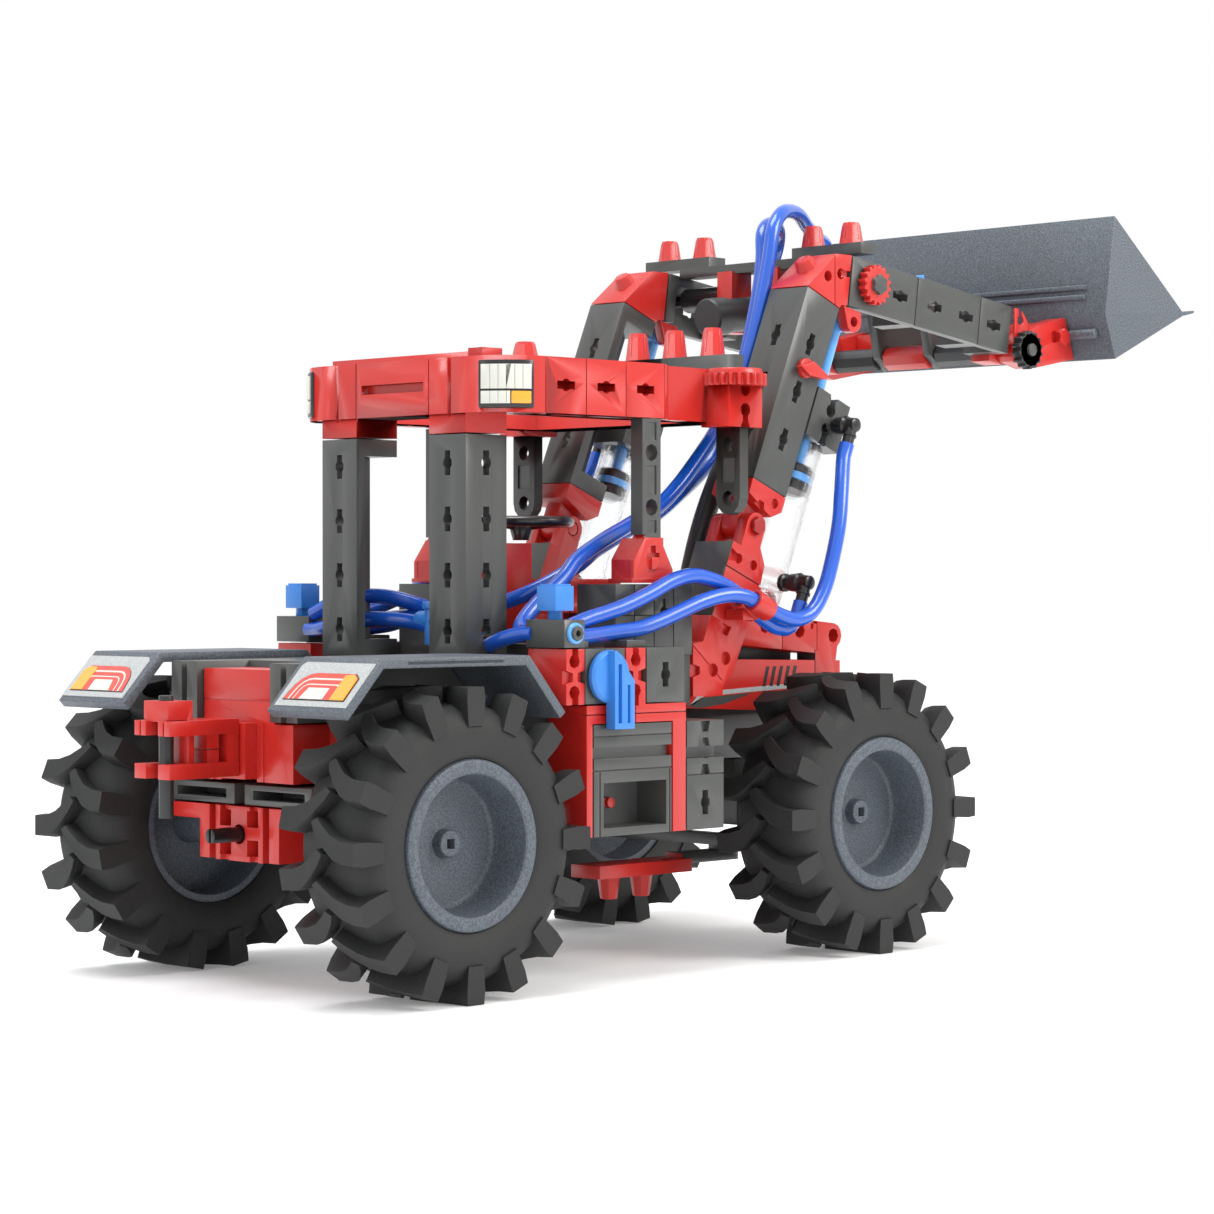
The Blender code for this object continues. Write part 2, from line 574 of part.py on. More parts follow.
def pivot_columns(finish):
    """The leaning columns that carry the boom pivots and the feet of the lift cylinders."""
    bearing = [(-7.1, -15), (-7.1, -7.6), (-3.6, -7.6)] + arc((0, 0), 3.8, 180, 0, 8)
    bearing += [(3.8, -5), (7.4, -9), (8, -15)]
    spacer = [(-7.1, -30.2), (-7.1, -14), (7.7, -14), (7.7, -30.2)]
    foot = [(78.7, 96.8), (92.7, 91.2), (87.4, 80.5), (83.4, 76.8), (83.4, 74.2), (71.4, 74.2), (71.4, 88.9),
            (75.5, 89.5)]
    tongue = [(6, -16), (6, -26), (11, -26)]
    lift_eye = (16.4, -15.7)
    tongue_gap = leaning(BOOM_PIVOT, LEAN, [(-9, -7.3), (9, -7.3), (9, 6), (-9, 6)])
    for hand, side in (("left", 1), ("right", -1)):
        low, high = both_sides(INNER_Y + 0.2, MID_Y - 0.2, side)
        shapes = [
            prism(leaning(BOOM_PIVOT, LEAN, spacer), low, high),
            prism(leaning(BOOM_PIVOT, LEAN, bearing), low, high),
            prism(foot, low, high),
        ]
        eye = tongue + arc(lift_eye, 3.2, -60, 120, 8)
        shapes.append(prism(leaning(BOOM_PIVOT, LEAN, eye), *both_sides(35.6, 39.4, side)))
        pivot_x, pivot_z = BOOM_PIVOT
        cuts = [
            rod((pivot_x, side * 29, pivot_z), (pivot_x, side * 46, pivot_z), BORE_R, 8),
            rod((LIFT_BASE[0], side * 30, LIFT_BASE[1]), (LIFT_BASE[0], side * 46, LIFT_BASE[1]), 1.9, 8),
            prism(tongue_gap, *both_sides(34.1, 40.9, side)),
        ]
        piece(f"pivot_column_{hand}", finish, shapes, cuts)


def boom_girder(side):
    """The upright girder of one boom side, with its foot and its pivot pin, in the boom's frame."""
    y = both_sides(INNER_Y, MID_Y, side)
    wall = both_sides(MID_Y - WALL, MID_Y, side)
    tongue = arc((0, 0), 3.7, 180, 360, 8) + [(3.7, 9), (-3.7, 9)]
    shapes = [
        block((-6.6, 8.4), wall, (12.3, 72.3)),
        block((-6.6, -6.6 + WALL), y, (12.3, 72.3)),
        prism([(-6.45, 17.6), (8.25, 17.6), (8.25, 7.6), (4.6, 4.6), (-6.45, 7.6)], y[0] + GAP, y[1] - GAP),
        block((-6.6, 8.4), y, (67.3, 72.3)),
        prism(tongue, *both_sides(34.5, 40.5, side)),
        rod((0, side * 30.3, 0), (0, side * 45.4, 0), AXLE_R, 8),
    ]
    cuts = slots((0.9, side * MID_Y, 27.2), 3, GRID, (0, 1, 0), (0, 0, 1), 2 * WALL + 2)
    cuts += slots((-6.6, side * CYLINDER_Y, 27.2), 3, GRID, (1, 0, 0), (0, 0, 1), 2 * WALL + 2)
    return shapes, cuts


def boom(red, dark):
    """Two bent arms, tied together across the middle, that swing on the columns."""
    boom_pivot = (BOOM_PIVOT[0], 0, BOOM_PIVOT[1])
    root, top = framed(BOOM_PIVOT, ARM_LEAN, ARM_ROOT)
    bucket_pivot = framed(BOOM_PIVOT, ARM_LEAN, BUCKET_PIVOT)
    tie_pivot = framed(BOOM_PIVOT, ARM_LEAN, CROSS_TIE)
    for hand, side in (("left", 1), ("right", -1)):
        shapes, cuts = boom_girder(side)
        piece(f"boom_upright_{hand}", dark, shapes, cuts, pivot=boom_pivot, lean=LEAN)

        low, high = both_sides(INNER_Y + GAP, MID_Y - GAP, side)
        upright_top = leaning(BOOM_PIVOT, LEAN, [(-6.5, 72.5), (8.2, 72.5)])
        wedge = [upright_top[0], (131.3, 201.3), (138.0, 201.3), (136.0, 186.6), (133.6, 186.6)]
        wedge.append(upright_top[1])
        lift_x, lift_z = LIFT_TOP
        ear = arc(LIFT_TOP, 3.2, 180, 360, 6)
        ear += [(lift_x + 3.0, 184.9), (135.9, 186.2), (135.9, 188), (134.6, 188)]
        shapes = [prism(wedge, low, high)]
        shapes += [prism(ear, *both_sides(*y, side)) for y in ((30.6, 33.8), (41.2, 44.4))]
        cuts = [rod((lift_x, side * 29, lift_z), (lift_x, side * 46, lift_z), 1.6, 8)]
        for x, z in ((127.6, 194.6), (133.2, 195.6)):
            cuts.append(rod((x, side * 39, z), (x, side * 46, z), 1.7, 8))
        piece(f"boom_elbow_{hand}", red, shapes, cuts, pivot=boom_pivot)

        y = both_sides(INNER_Y, MID_Y, side)
        shapes = [
            block((root, root + ARM_LENGTH), both_sides(MID_Y - WALL, MID_Y, side), (top - GRID, top)),
            block((root, root + ARM_LENGTH), y, (top - WALL, top)),
        ]
        for start, length in ((0, 4), (27.5, 5), (57.5, 5), (ARM_LENGTH - 4, 4)):
            shapes.append(block((root + start, root + start + length), y, (top - GRID, top)))
        cuts = slots((root + 22.5, side * MID_Y, top - 7.5), 1, GRID, (0, 1, 0), (1, 0, 0), 2 * WALL + 2)
        cuts += slots((root + 38.5, side * MID_Y, top - 7.5), 2, GRID, (0, 1, 0), (1, 0, 0), 2 * WALL + 2)
        cuts += slots((root + 67, side * MID_Y, top - 7.5), 1, GRID, (0, 1, 0), (1, 0, 0), 2 * WALL + 2)
        tie_x, tie_z = tie_pivot
        cuts.append(rod((tie_x, side * 28, tie_z), (tie_x, side * 47, tie_z), BORE_R, 8))
        piece(f"boom_arm_{hand}", dark, shapes, cuts, pivot=boom_pivot, lean=ARM_LEAN)

    x, z = CROSS_TIE
    tie = [block((x - 4, x + 4), (-29.6, 29.6), (BEAM_Z, BEAM_Z + 3.2))]
    for side in (1, -1):
        tie.append(rod((x, side * 8.2, z), (x, side * 48.4, z), AXLE_R, 8))
        tie.append(rod((x, side * 45.3, z), (x, side * 47.6, z), 5.2))
        tie.append(rod((x, side * 12, z), (x, side * 29.4, z), 3.8))
        tie.append(block((x - 5, x + 4), both_sides(6.2, 12.6, side), (181.6, BEAM_Z + 1)))
        tie.append(block((x - 3.8, x + 3.8), both_sides(17, 44.6, side), (BEAM_Z + 2.6, BEAM_Z + 6.2)))
        for y in (22.5, 37.5):
            tie.append(rod((x, side * y, BEAM_Z + 5), (x, side * y, BEAM_Z + 12.4), 3.4, 6, 2.4))
    trunnion = rod((TILT_BASE[0], -10, TILT_BASE[1]), (TILT_BASE[0], 10, TILT_BASE[1]), 2.0, 8)
    piece("boom_cross_tie", dark, tie, [trunnion], pivot=(x, 0, z))

    x, z = bucket_pivot
    shaft = [rod((x, -49.4, z), (x, 49.4, z), AXLE_R, 8), rod((x, -8.4, z), (x, 8.4, z), 3.9, 8)]
    front = root + ARM_LENGTH
    for side in (1, -1):
        shaft.append(rod((x, side * 45.5, z), (x, side * 48.6, z), 5.2))
        shaft.append(rod((x, side * 12.8, z), (x, side * 30.4, z), 3.7, 8))
        hinge = [(front + 0.3, top - 0.3), (front + 4, top - 2), (x + 3.9, z + 2)]
        hinge += arc((x, z), 4.0, 0, -90, 6) + [(front + 0.3, z - 4)]
        shaft.append(prism(hinge, *both_sides(30.2, 37.4, side)))
    piece("bucket_shaft", red, shaft, pivot=boom_pivot, lean=ARM_LEAN)


def lift_cylinders(clear, blue):
    """The pair of pneumatic cylinders that raise the boom, each a barrel with its caps and a piston rod."""
    lean, reach = run_between(LIFT_BASE, LIFT_TOP)
    pivot = (LIFT_BASE[0], 0, LIFT_BASE[1])
    for hand, side in (("left", 1), ("right", -1)):
        y = side * CYLINDER_Y
        barrel = [
            rod((0, y, 7), (0, y, 50), BARREL_R),
            rod((0, y, 3.6), (0, y, 9), 6.6),
            block((-7.2, 7.5), both_sides(INNER_Y, MID_Y, side), (48.5, 63.5)),
            rod((0, side * 32.3, 0), (0, side * 42.7, 0), 1.5, 8),
        ]
        fork = arc((0, 0), 3.0, 180, 360, 6) + [(3, 4.5), (-3, 4.5)]
        barrel += [prism(fork, *both_sides(*ends, side)) for ends in ((32.2, 35.3), (39.7, 42.8))]
        for forward, along in (LOW_PORT, HIGH_PORT):
            barrel.append(rod((forward, side * 42.5, along), (forward, side * 53.4, along), 2.2, 8))
            elbow = (forward, side * 51.6, along)
            barrel.append(rod(elbow, (forward, side * 51.6, along - ELBOW_DROP + 0.3), 1.9, 8))
        bore = [rod((0, y, 12), (0, y, 49.4), BARREL_BORE_R), rod((0, y, 49), (0, y, 66), 2.4, 8)]
        piece(f"lift_barrel_{hand}", clear, barrel, bore, pivot=pivot, lean=lean)
        piston = [
            rod((0, y, 36), (0, y, reach), ROD_R, 8),
            rod((0, y, 33.5), (0, y, 41.5), PISTON_R),
            rod((0, side * 34.6, reach), (0, side * 40.4, reach), 2.8, 8),
        ]
        eye = rod((0, side * 33, reach), (0, side * 42, reach), 1.4, 8)
        piece(f"lift_rod_{hand}", blue, piston, [eye], pivot=pivot, lean=lean)


def tilt_cylinder(clear, blue):
    """The central cylinder, hung from the cross tie, that tips the bucket."""
    lean, reach = run_between(TILT_BASE, tilt_lever())
    pivot = (TILT_BASE[0], 0, TILT_BASE[1])
    end = 38.3
    barrel = [rod((0, 0, -TILT_REAR), (0, 0, end), 5.2),
              rod((0, 0, -TILT_REAR - 0.3), (0, 0, -TILT_REAR + 7), 5.7),
              rod((0, -7.6, 0), (0, 7.6, 0), 1.6, 8)]
    for along in TILT_PORTS:
        barrel.append(rod((0, 0, along - 3.4), (0, 0, along + 3.8), 5.7))
        barrel.append(rod((-3, 0, along), (-PORT_REACH + 0.3, 0, along), 2.0, 8))
    bore = [rod((0, 0, 1), (0, 0, end - 8), 4.2), rod((0, 0, end - 10), (0, 0, end + 2), 2.4, 8)]
    piece("tilt_barrel", clear, barrel, bore, pivot=pivot, lean=lean)
    piston = [rod((0, 0, 12), (0, 0, reach), 1.8, 8), rod((0, 0, 9.5), (0, 0, 15), 3.8),
              block((-7.6, 7.6), (-7.9, 7.9), (reach - 3.6, reach + 3.6))]
    yoke_slot = block((-6.2, 6.2), (-9, 9), (reach - 2.4, reach + 2.4))
    piece("tilt_rod", blue, piston, [yoke_slot], pivot=pivot, lean=lean)


def bucket(stone, red):
    top, back, heel, lip, tip = (244.9, 220.2), (240.0, 189.5), (245.3, 175.4), (281.0, 192.3), (287.4, 193.0)
    outline = [top, back, heel, (281.3, 190.9), (287.4, 192.2), tip, lip]
    inside = prism([(247.2, 226), (242.2, 189.8), (246.6, 178.2), (284, 195.4), (284, 226)], -58.2, 58.2)
    x, z = BUCKET_PIVOT
    piece("bucket", stone, [prism(outline, -OUTER_Y, OUTER_Y)], [inside], pivot=(x, 0, z))

    lever_x, lever_z = tilt_lever()
    cheek = arc(BUCKET_PIVOT, 3.9, 120, 240, 4)
    cheek += [(x + 6, z - 5.2), (243.9, 176.0), (239.4, 188.8), (x + 9, z + 8)]
    shapes = [block((234.6, 239.5), (-44, 44), (177, 187.6))]
    for side in (1, -1):
        shapes.append(prism(cheek, *both_sides(37.8, 44.9, side)))
        arm = [(x - 4, z), (x + 1, z - 4), (237, z + 2), (237, z + 9)]
        arm += [(lever_x + 3.6, lever_z), (lever_x, lever_z + 3), (lever_x - 3.2, lever_z)]
        shapes.append(prism(arm, *both_sides(9.0, 12.0, side)))
        shapes.append(rod((lever_x, side * 5.5, lever_z), (lever_x, side * 13.5, lever_z), 1.7, 8))
    piece("bucket_mount", red, shapes, [rod((x, -46, z), (x, 46, z), BORE_R, 8)], pivot=(x, 0, z))


def hoses(finish):
    """Air hoses: two to each lift cylinder, and a pair that climbs the boom to the tilt cylinder."""
    lean, _ = run_between(LIFT_BASE, LIFT_TOP)
    elbows = [[(x, 51.6, z) for x, z in leaning(
        LIFT_BASE, lean, [(forward, along - ELBOW_DROP - 4), (forward, along - ELBOW_DROP)])]
        for forward, along in (LOW_PORT, HIGH_PORT)]
    lower = [(15.25, 49.6, 93.9), (18, 49.6, 93.9), (26, 49.5, 96.2), (33, 49.5, 97.8), (40, 49.5, 99.6),
             (49.5, 49.5, 102.9), (58, 49.5, 106.3), (66, 49.5, 107.8), (73, 49.6, 106.9), (80, 49.8, 104.6),
             (86, 50.2, 101.2), (92, 50.6, 96.6), (98, 51, 93.4), (103.4, 51.4, 93.0)] + elbows[0]
    upper = [(15.25, 54.4, 91.5), (18, 54.4, 91.5), (27, 52.5, 92.0), (35, 51.6, 92.7), (43, 51.5, 93.4),
             (51, 51.5, 95.3), (60, 51.6, 98.2), (68, 52.0, 100.8), (76, 53.2, 102.4), (82, 54.6, 102.0),
             (88, 55.6, 99.4), (95, 56.2, 96.6), (101, 56.8, 95.5), (107, 57.2, 97.6), (112, 57.2, 103.8),
             (115.6, 57.0, 112.0), (119, 56.6, 122.4), (122.4, 54.6, 132.4)] + elbows[1]
    for hand, side in (("left", 1), ("right", -1)):
        for level, route in (("lower", lower), ("upper", upper)):
            hose(f"hose_{level}_{hand}", finish, [(x, side * y, z) for x, y, z in route])

    lean, _ = run_between(TILT_BASE, tilt_lever())
    rear, front = [[(x, 0, z) for x, z in leaning(
        TILT_BASE, lean, [(-PORT_REACH - 4, port), (-PORT_REACH, port)])] for port in TILT_PORTS]
    near = [(11.3, -41.3, 92.7), (11.3, -39, 92.7), (15.5, -35.6, 95.6), (22, -34.4, 100.4),
            (32.5, -33, 106.8), (40, -31, 112.2), (51, -29.5, 117.3), (61, -27.8, 121.0), (77, -24.6, 126.8),
            (86, -23.4, 132.4),
            (93.5, -23.4, 139.4), (101.5, -24.4, 149), (107.4, -26, 159), (112.4, -27, 171),
            (116.3, -27, 181.4), (119.6, -27, 192.3), (121.9, -27, 201.4), (124, -26.6, 209.4),
            (129, -25, 214.2), (136, -22, 215.9),
            (144, -18.6, 215.6), (153, -13.6, 213.4), (163, -8.2, 211.4), (173, -3.2, 210.0)] + front
    far = [(11.3, 41.3, 92.7), (11.3, 39, 92.7), (16.5, 33, 94.6), (21.5, 20, 96.2), (23.5, 4, 97.2),
           (26.5, -12, 99.6), (33.5, -22, 104.2), (44, -26.4, 110.4), (54, -24.6, 115.2), (66, -22.4, 119.6),
           (76, -20.2, 122.8), (85, -18.4, 126.2), (95, -16.4, 131.4), (105, -14, 136.6), (113, -12.6, 142.4),
           (117.6, -13.6, 151), (117.6, -18.4, 161.6), (116.4, -22.6, 171.5), (119.6, -22.6, 182),
           (122.6, -22.4, 192.3), (124.6, -21.8, 201.4), (126.6, -20, 208.6), (131.8, -17.6, 211.9),
           (140, -13.2, 212.2), (147.4, -7.2, 210.6), (152.2, -2.0, 207.2)] + rear
    hose("hose_boom_near", finish, near)
    hose("hose_boom_far", finish, far)


def main():
    for old in list(bpy.data.objects):
        bpy.data.objects.remove(old, do_unlink=True)
    origin = bpy.data.objects.new("layout_origin", None)
    bpy.context.scene.collection.objects.link(origin)
    origin.location = (-ORIGIN_X * MM, 0, 0)

    red = material("red_plastic", RED, 0.32)
    dark = material("grey_plastic", GREY, 0.45)
    stone = material("speckled_plastic", STONE, 0.6)
    black = material("black_plastic", BLACK, 0.35)
    rubber = material("tyre_rubber", RUBBER, 0.8)
    rim_plastic = material("rim_plastic", RIM_GREY, 0.6)
    blue = material("hose_blue", BLUE, 0.3)
    lever_blue = material("lever_blue", LEVER_BLUE, 0.4)
    clear = material("clear_plastic", CLEAR, 0.1, 0.35)

    wheels(rubber, rim_plastic)
    chassis(dark)
    side_frames(red, dark, lever_blue)
    rotary_valve(dark, lever_blue)
    fenders(stone)
    rear_end(red, dark, black)
    cab(red, dark, black)
    hood(red, dark)
    steering(dark, red)
    pivot_columns(red)
    boom(red, dark)
    lift_cylinders(clear, blue)
    tilt_cylinder(clear, blue)
    bucket(stone, red)
    hoses(blue)


main()
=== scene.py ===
"""Looks of the loader tractor kit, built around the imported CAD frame.
"""

import json
import math

import bmesh
import bpy
from mathutils import Matrix, Vector


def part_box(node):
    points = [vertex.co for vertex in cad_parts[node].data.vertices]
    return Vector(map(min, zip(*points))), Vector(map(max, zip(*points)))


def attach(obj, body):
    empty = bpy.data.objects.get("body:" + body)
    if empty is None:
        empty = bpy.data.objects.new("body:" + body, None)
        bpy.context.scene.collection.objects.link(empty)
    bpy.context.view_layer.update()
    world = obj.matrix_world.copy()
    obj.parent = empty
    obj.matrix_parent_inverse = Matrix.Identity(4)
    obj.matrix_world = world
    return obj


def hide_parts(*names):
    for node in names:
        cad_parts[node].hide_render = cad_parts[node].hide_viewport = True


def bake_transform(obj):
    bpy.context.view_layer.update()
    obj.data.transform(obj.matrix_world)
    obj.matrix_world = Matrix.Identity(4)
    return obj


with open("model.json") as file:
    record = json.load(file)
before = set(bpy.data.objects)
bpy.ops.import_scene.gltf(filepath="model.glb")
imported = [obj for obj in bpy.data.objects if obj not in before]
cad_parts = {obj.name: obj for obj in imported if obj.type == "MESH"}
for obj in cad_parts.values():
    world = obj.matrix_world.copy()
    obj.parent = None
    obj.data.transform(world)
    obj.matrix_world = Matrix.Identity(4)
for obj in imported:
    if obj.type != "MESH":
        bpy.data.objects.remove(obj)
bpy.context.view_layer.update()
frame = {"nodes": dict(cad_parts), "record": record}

MM = 0.001
GRID = 15.0
SIDES = (("left", 1), ("right", -1))
CAB_REAR_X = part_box("rear_post_left")[0].x - 0.15 * MM

# Loader geometry, repeated from the CAD
BOOM_LEAN = math.radians(22.5)
ARM_LEAN = math.radians(8.0)
BOOM_PIVOT = (97.2, 121.9)
LIFT_BASE = (106.5, 101.0)
LIFT_TOP = (139.5, 182.0)
LIFT_PORTS = ((2.0, 6.0), (3.2, 55.6))
BUCKET_PIVOT = (217.5, 177.5)
CROSS_TIE = (146.1, 193.0)
TILT_BASE = (145.5, 187.5)
TILT_LEVER = (212.7, 195.4)
TILT_PORTS = (8.6, 34.8)
PORT_REACH = 10.0
HOSE_R = 2.15
AXLE_Z = 40.0
WHEELS_X = (("rear", -30.0), ("front", 127.5))
BELLY = 38.8
LIFT_Y = 37.5
ELBOW_Y = 51.6
CASE_FACE = 59.9
VALVE_PORT = (11.3, 92.7)
ROTARY_PIVOT = (22.8, -60, 81.2)
ROOF_GEAR = (89.5, -43.6)

# Wheels: the tyre's two sides, and how its lugs are set out
TYRE_INNER = 38.4
TYRE_OUTER = 66.9
LUGS_IN_ROW = 16

# Camera, in metres and degrees: where it stands from the cab's rear, and its fitted lens
CAMERA_FROM_CAB = (-0.5652, -0.6597, 0.1074)
CAMERA_DIP = 0.538
CAMERA_HEADING = 45.554
LENS = 94.54
FLOOR_GLOW = 0.16


# ---------------------------------------------------------------- shapes, in millimetres


def block(x, y, z):
    """A box between two limits on each axis."""
    shape = bmesh.new()
    bmesh.ops.create_cube(shape, size=1.0)
    for vert in shape.verts:
        for axis, (low, high) in enumerate((sorted(x), sorted(y), sorted(z))):
            vert.co[axis] = low if vert.co[axis] < 0 else high
    return shape


def skinned(rings):
    """A closed solid through rings of points that match one to one."""
    shape = bmesh.new()
    rings = [[shape.verts.new(point) for point in ring] for ring in rings]
    shape.faces.new(rings[0])
    shape.faces.new(reversed(rings[-1]))
    for low, high in zip(rings, rings[1:]):
        for i in range(len(low)):
            j = (i + 1) % len(low)
            shape.faces.new((low[j], low[i], high[i], high[j]))
    bmesh.ops.recalc_face_normals(shape, faces=shape.faces)
    return shape


def prism(outline, low, high, across="y"):
    """An outline pushed from low to high along one axis.  Outlines are (x, z), (x, y) or (y, z) pairs."""
    places = {"y": lambda a, b, c: (a, c, b), "z": lambda a, b, c: (a, b, c), "x": lambda a, b, c: (c, a, b)}
    place = places[across]
    return skinned([[place(a, b, level) for a, b in outline] for level in (low, high)])


def rod(start, end, radius, sides=24):
    """A round bar."""
    start, end = Vector(start), Vector(end)
    turn = (end - start).to_track_quat("Z", "Y").to_matrix().to_4x4()
    middle = Matrix.Translation((start + end) / 2) @ turn
    shape = bmesh.new()
    bmesh.ops.create_cone(
        shape, cap_ends=True, segments=sides, radius1=radius, radius2=radius, matrix=middle,
        depth=(end - start).length)
    return shape


def turned(profile, start, direction, sides=48):
    """A closed (distance, radius) profile spun about an axis; radius 0 closes an end."""
    axis = Vector(direction).normalized()
    across = axis.orthogonal().normalized()
    other = axis.cross(across)
    shape = bmesh.new()
    rings = []
    for distance, radius in profile:
        centre = Vector(start) + axis * distance
        if radius == 0:
            rings.append([shape.verts.new(centre)])
            continue
        angles = [2 * math.pi * i / sides for i in range(sides)]
        rings.append([shape.verts.new(centre + (across * math.cos(a) + other * math.sin(a)) * radius)
                      for a in angles])
    closed = profile[0][1] != 0
    pairs = list(zip(rings, rings[1:])) + ([(rings[-1], rings[0])] if closed else [])
    for first, second in pairs:
        for i in range(sides):
            j = (i + 1) % sides
            corners = [first[i % len(first)], first[j % len(first)],
                       second[j % len(second)], second[i % len(second)]]
            shape.faces.new(list(dict.fromkeys(corners)))
    bmesh.ops.recalc_face_normals(shape, faces=shape.faces)
    return shape


def arc(centre, radius, start, end, steps):
    """Points on an arc, in degrees, for the round stretches of an outline."""
    angles = [math.radians(start + (end - start) * i / steps) for i in range(steps + 1)]
    return [(centre[0] + radius * math.cos(a), centre[1] + radius * math.sin(a)) for a in angles]


def both_sides(low, high, side):
    return sorted((side * low, side * high))


def lean_matrix(base, lean):
    """From a leaning member's own frame to the layout."""
    return Matrix.Translation((base[0], 0, base[1])) @ Matrix.Rotation(lean, 4, "Y")


def run_between(start, end):
    x, z = end[0] - start[0], end[1] - start[1]
    return math.atan2(x, z), math.hypot(x, z)


def framed(base, lean, point):
    """The (forward, along) pair, in a leaning member's frame, of an (x, z) point."""
    x, z = point[0] - base[0], point[1] - base[1]
    return x * math.cos(lean) - z * math.sin(lean), x * math.sin(lean) + z * math.cos(lean)


def moved(shapes, matrix):
    for shape in shapes:
        shape.transform(matrix)
    return shapes


def cad_shape(node):
    """A CAD node's solid, back in layout millimetres, with its flat faces whole again."""
    shape = bmesh.new()
    shape.from_mesh(frame["nodes"][node].data)
    shape.transform(Matrix.Scale(1 / MM, 4) @ Matrix.Translation((-CAB_REAR_X, 0, 0)))
    bmesh.ops.remove_doubles(shape, verts=shape.verts, dist=0.002)
    bmesh.ops.dissolve_limit(shape, angle_limit=math.radians(1.0), verts=shape.verts, edges=shape.edges)
    return shape


def oriented(outline, centre, normal, up, depth):
    """An outline drawn on a face: pushed depth deep both ways along the face's normal."""
    normal, up = Vector(normal), Vector(up)
    right = up.cross(normal)
    centre = Vector(centre)
    return skinned([[centre + right * a + up * b + normal * level for a, b in outline]
                    for level in (-depth, depth)])


# ---------------------------------------------------------------- kit details


def peg(foot, up, height=9.0):
    """A red locking peg, and the cutters for the four flutes along its tapered sides."""
    shape = turned([(0, 0), (0, 3.6), (height * 0.85, 2.75), (height, 2.3), (height, 0)], foot, up, 8)
    flutes = []
    axis = Vector(up).normalized()
    across = axis.orthogonal().normalized()
    for i in range(4):
        way = Matrix.Rotation(math.pi / 4 + i * math.pi / 2, 3, axis) @ across
        start = Vector(foot) + way * 3.7 + axis * 1.2
        flutes.append(rod(start, start + axis * height - way * 0.9, 0.7, 8))
    return shape, flutes


# ---------------------------------------------------------------- objects


def object_of(name, shapes):
    whole = bmesh.new()
    for shape in shapes:
        part = bpy.data.meshes.new("part")
        shape.to_mesh(part)
        whole.from_mesh(part)
        bpy.data.meshes.remove(part)
        shape.free()
    whole.transform(Matrix.Translation((CAB_REAR_X, 0, 0)) @ Matrix.Scale(MM, 4))
    mesh = bpy.data.meshes.new(name)
    whole.to_mesh(mesh)
    whole.free()
    made = bpy.data.objects.new(name, mesh)
    bpy.context.scene.collection.objects.link(made)
    return made


def applied(made):
    """The object's mesh with its modifiers worked into it."""
    bpy.context.view_layer.update()
    shown = made.evaluated_get(bpy.context.evaluated_depsgraph_get())
    mesh = bpy.data.meshes.new_from_object(shown)
    made.modifiers.clear()
    made.data = mesh
    mesh.name = made.name


def paint_faces(mesh, rules):
    """Gives another finish to the faces centred in a box: (finish, x, |y|, z), then its frame if it leans."""
    for finish, x, y, z, *frame_of in rules:
        mesh.materials.append(finish)
        to_box = frame_of[0].inverted() if frame_of else Matrix.Identity(4)
        for face in mesh.polygons:
            point = to_box @ (face.center / MM - Vector((CAB_REAR_X / MM, 0, 0)))
            place = (point.x, abs(point.y), point.z)
            if all(low <= value <= high for value, (low, high) in zip(place, (x, y, z))):
                face.material_index = len(mesh.materials) - 1


def make(name, body, finish, shapes, cuts=(), bevel=0.25, replaces=(), angle=35, paint=()):
    """A finished piece: shapes with cuts taken out, faces painted and edges rounded, riding on a body."""
    made = object_of(name, shapes)
    if cuts:
        cutter = object_of(name + "_cutter", cuts)
        step = made.modifiers.new("cut", "BOOLEAN")
        step.operation = "DIFFERENCE"
        step.solver = "EXACT"
        step.use_self = True
        step.object = cutter
        applied(made)
        bpy.data.objects.remove(cutter)
    made.data.materials.clear()
    made.data.materials.append(finish)
    made.data.polygons.foreach_set("material_index", [0] * len(made.data.polygons))
    paint_faces(made.data, paint)
    if bevel:
        step = made.modifiers.new("edges", "BEVEL")
        step.width = bevel * MM
        step.segments = 2
        step.limit_method = "ANGLE"
        step.angle_limit = math.radians(30)
        applied(made)
    made.data.shade_smooth()
    made.data.set_sharp_from_angle(angle=math.radians(angle))
    if body:
        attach(made, body)
    if replaces:
        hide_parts(*replaces)
    return made


# ---------------------------------------------------------------- materials


def add_node(tree, kind, **inputs):
    node = tree.nodes.new(kind)
    for name, value in inputs.items():
        node.inputs[name.replace("_", " ")].default_value = value
    return node


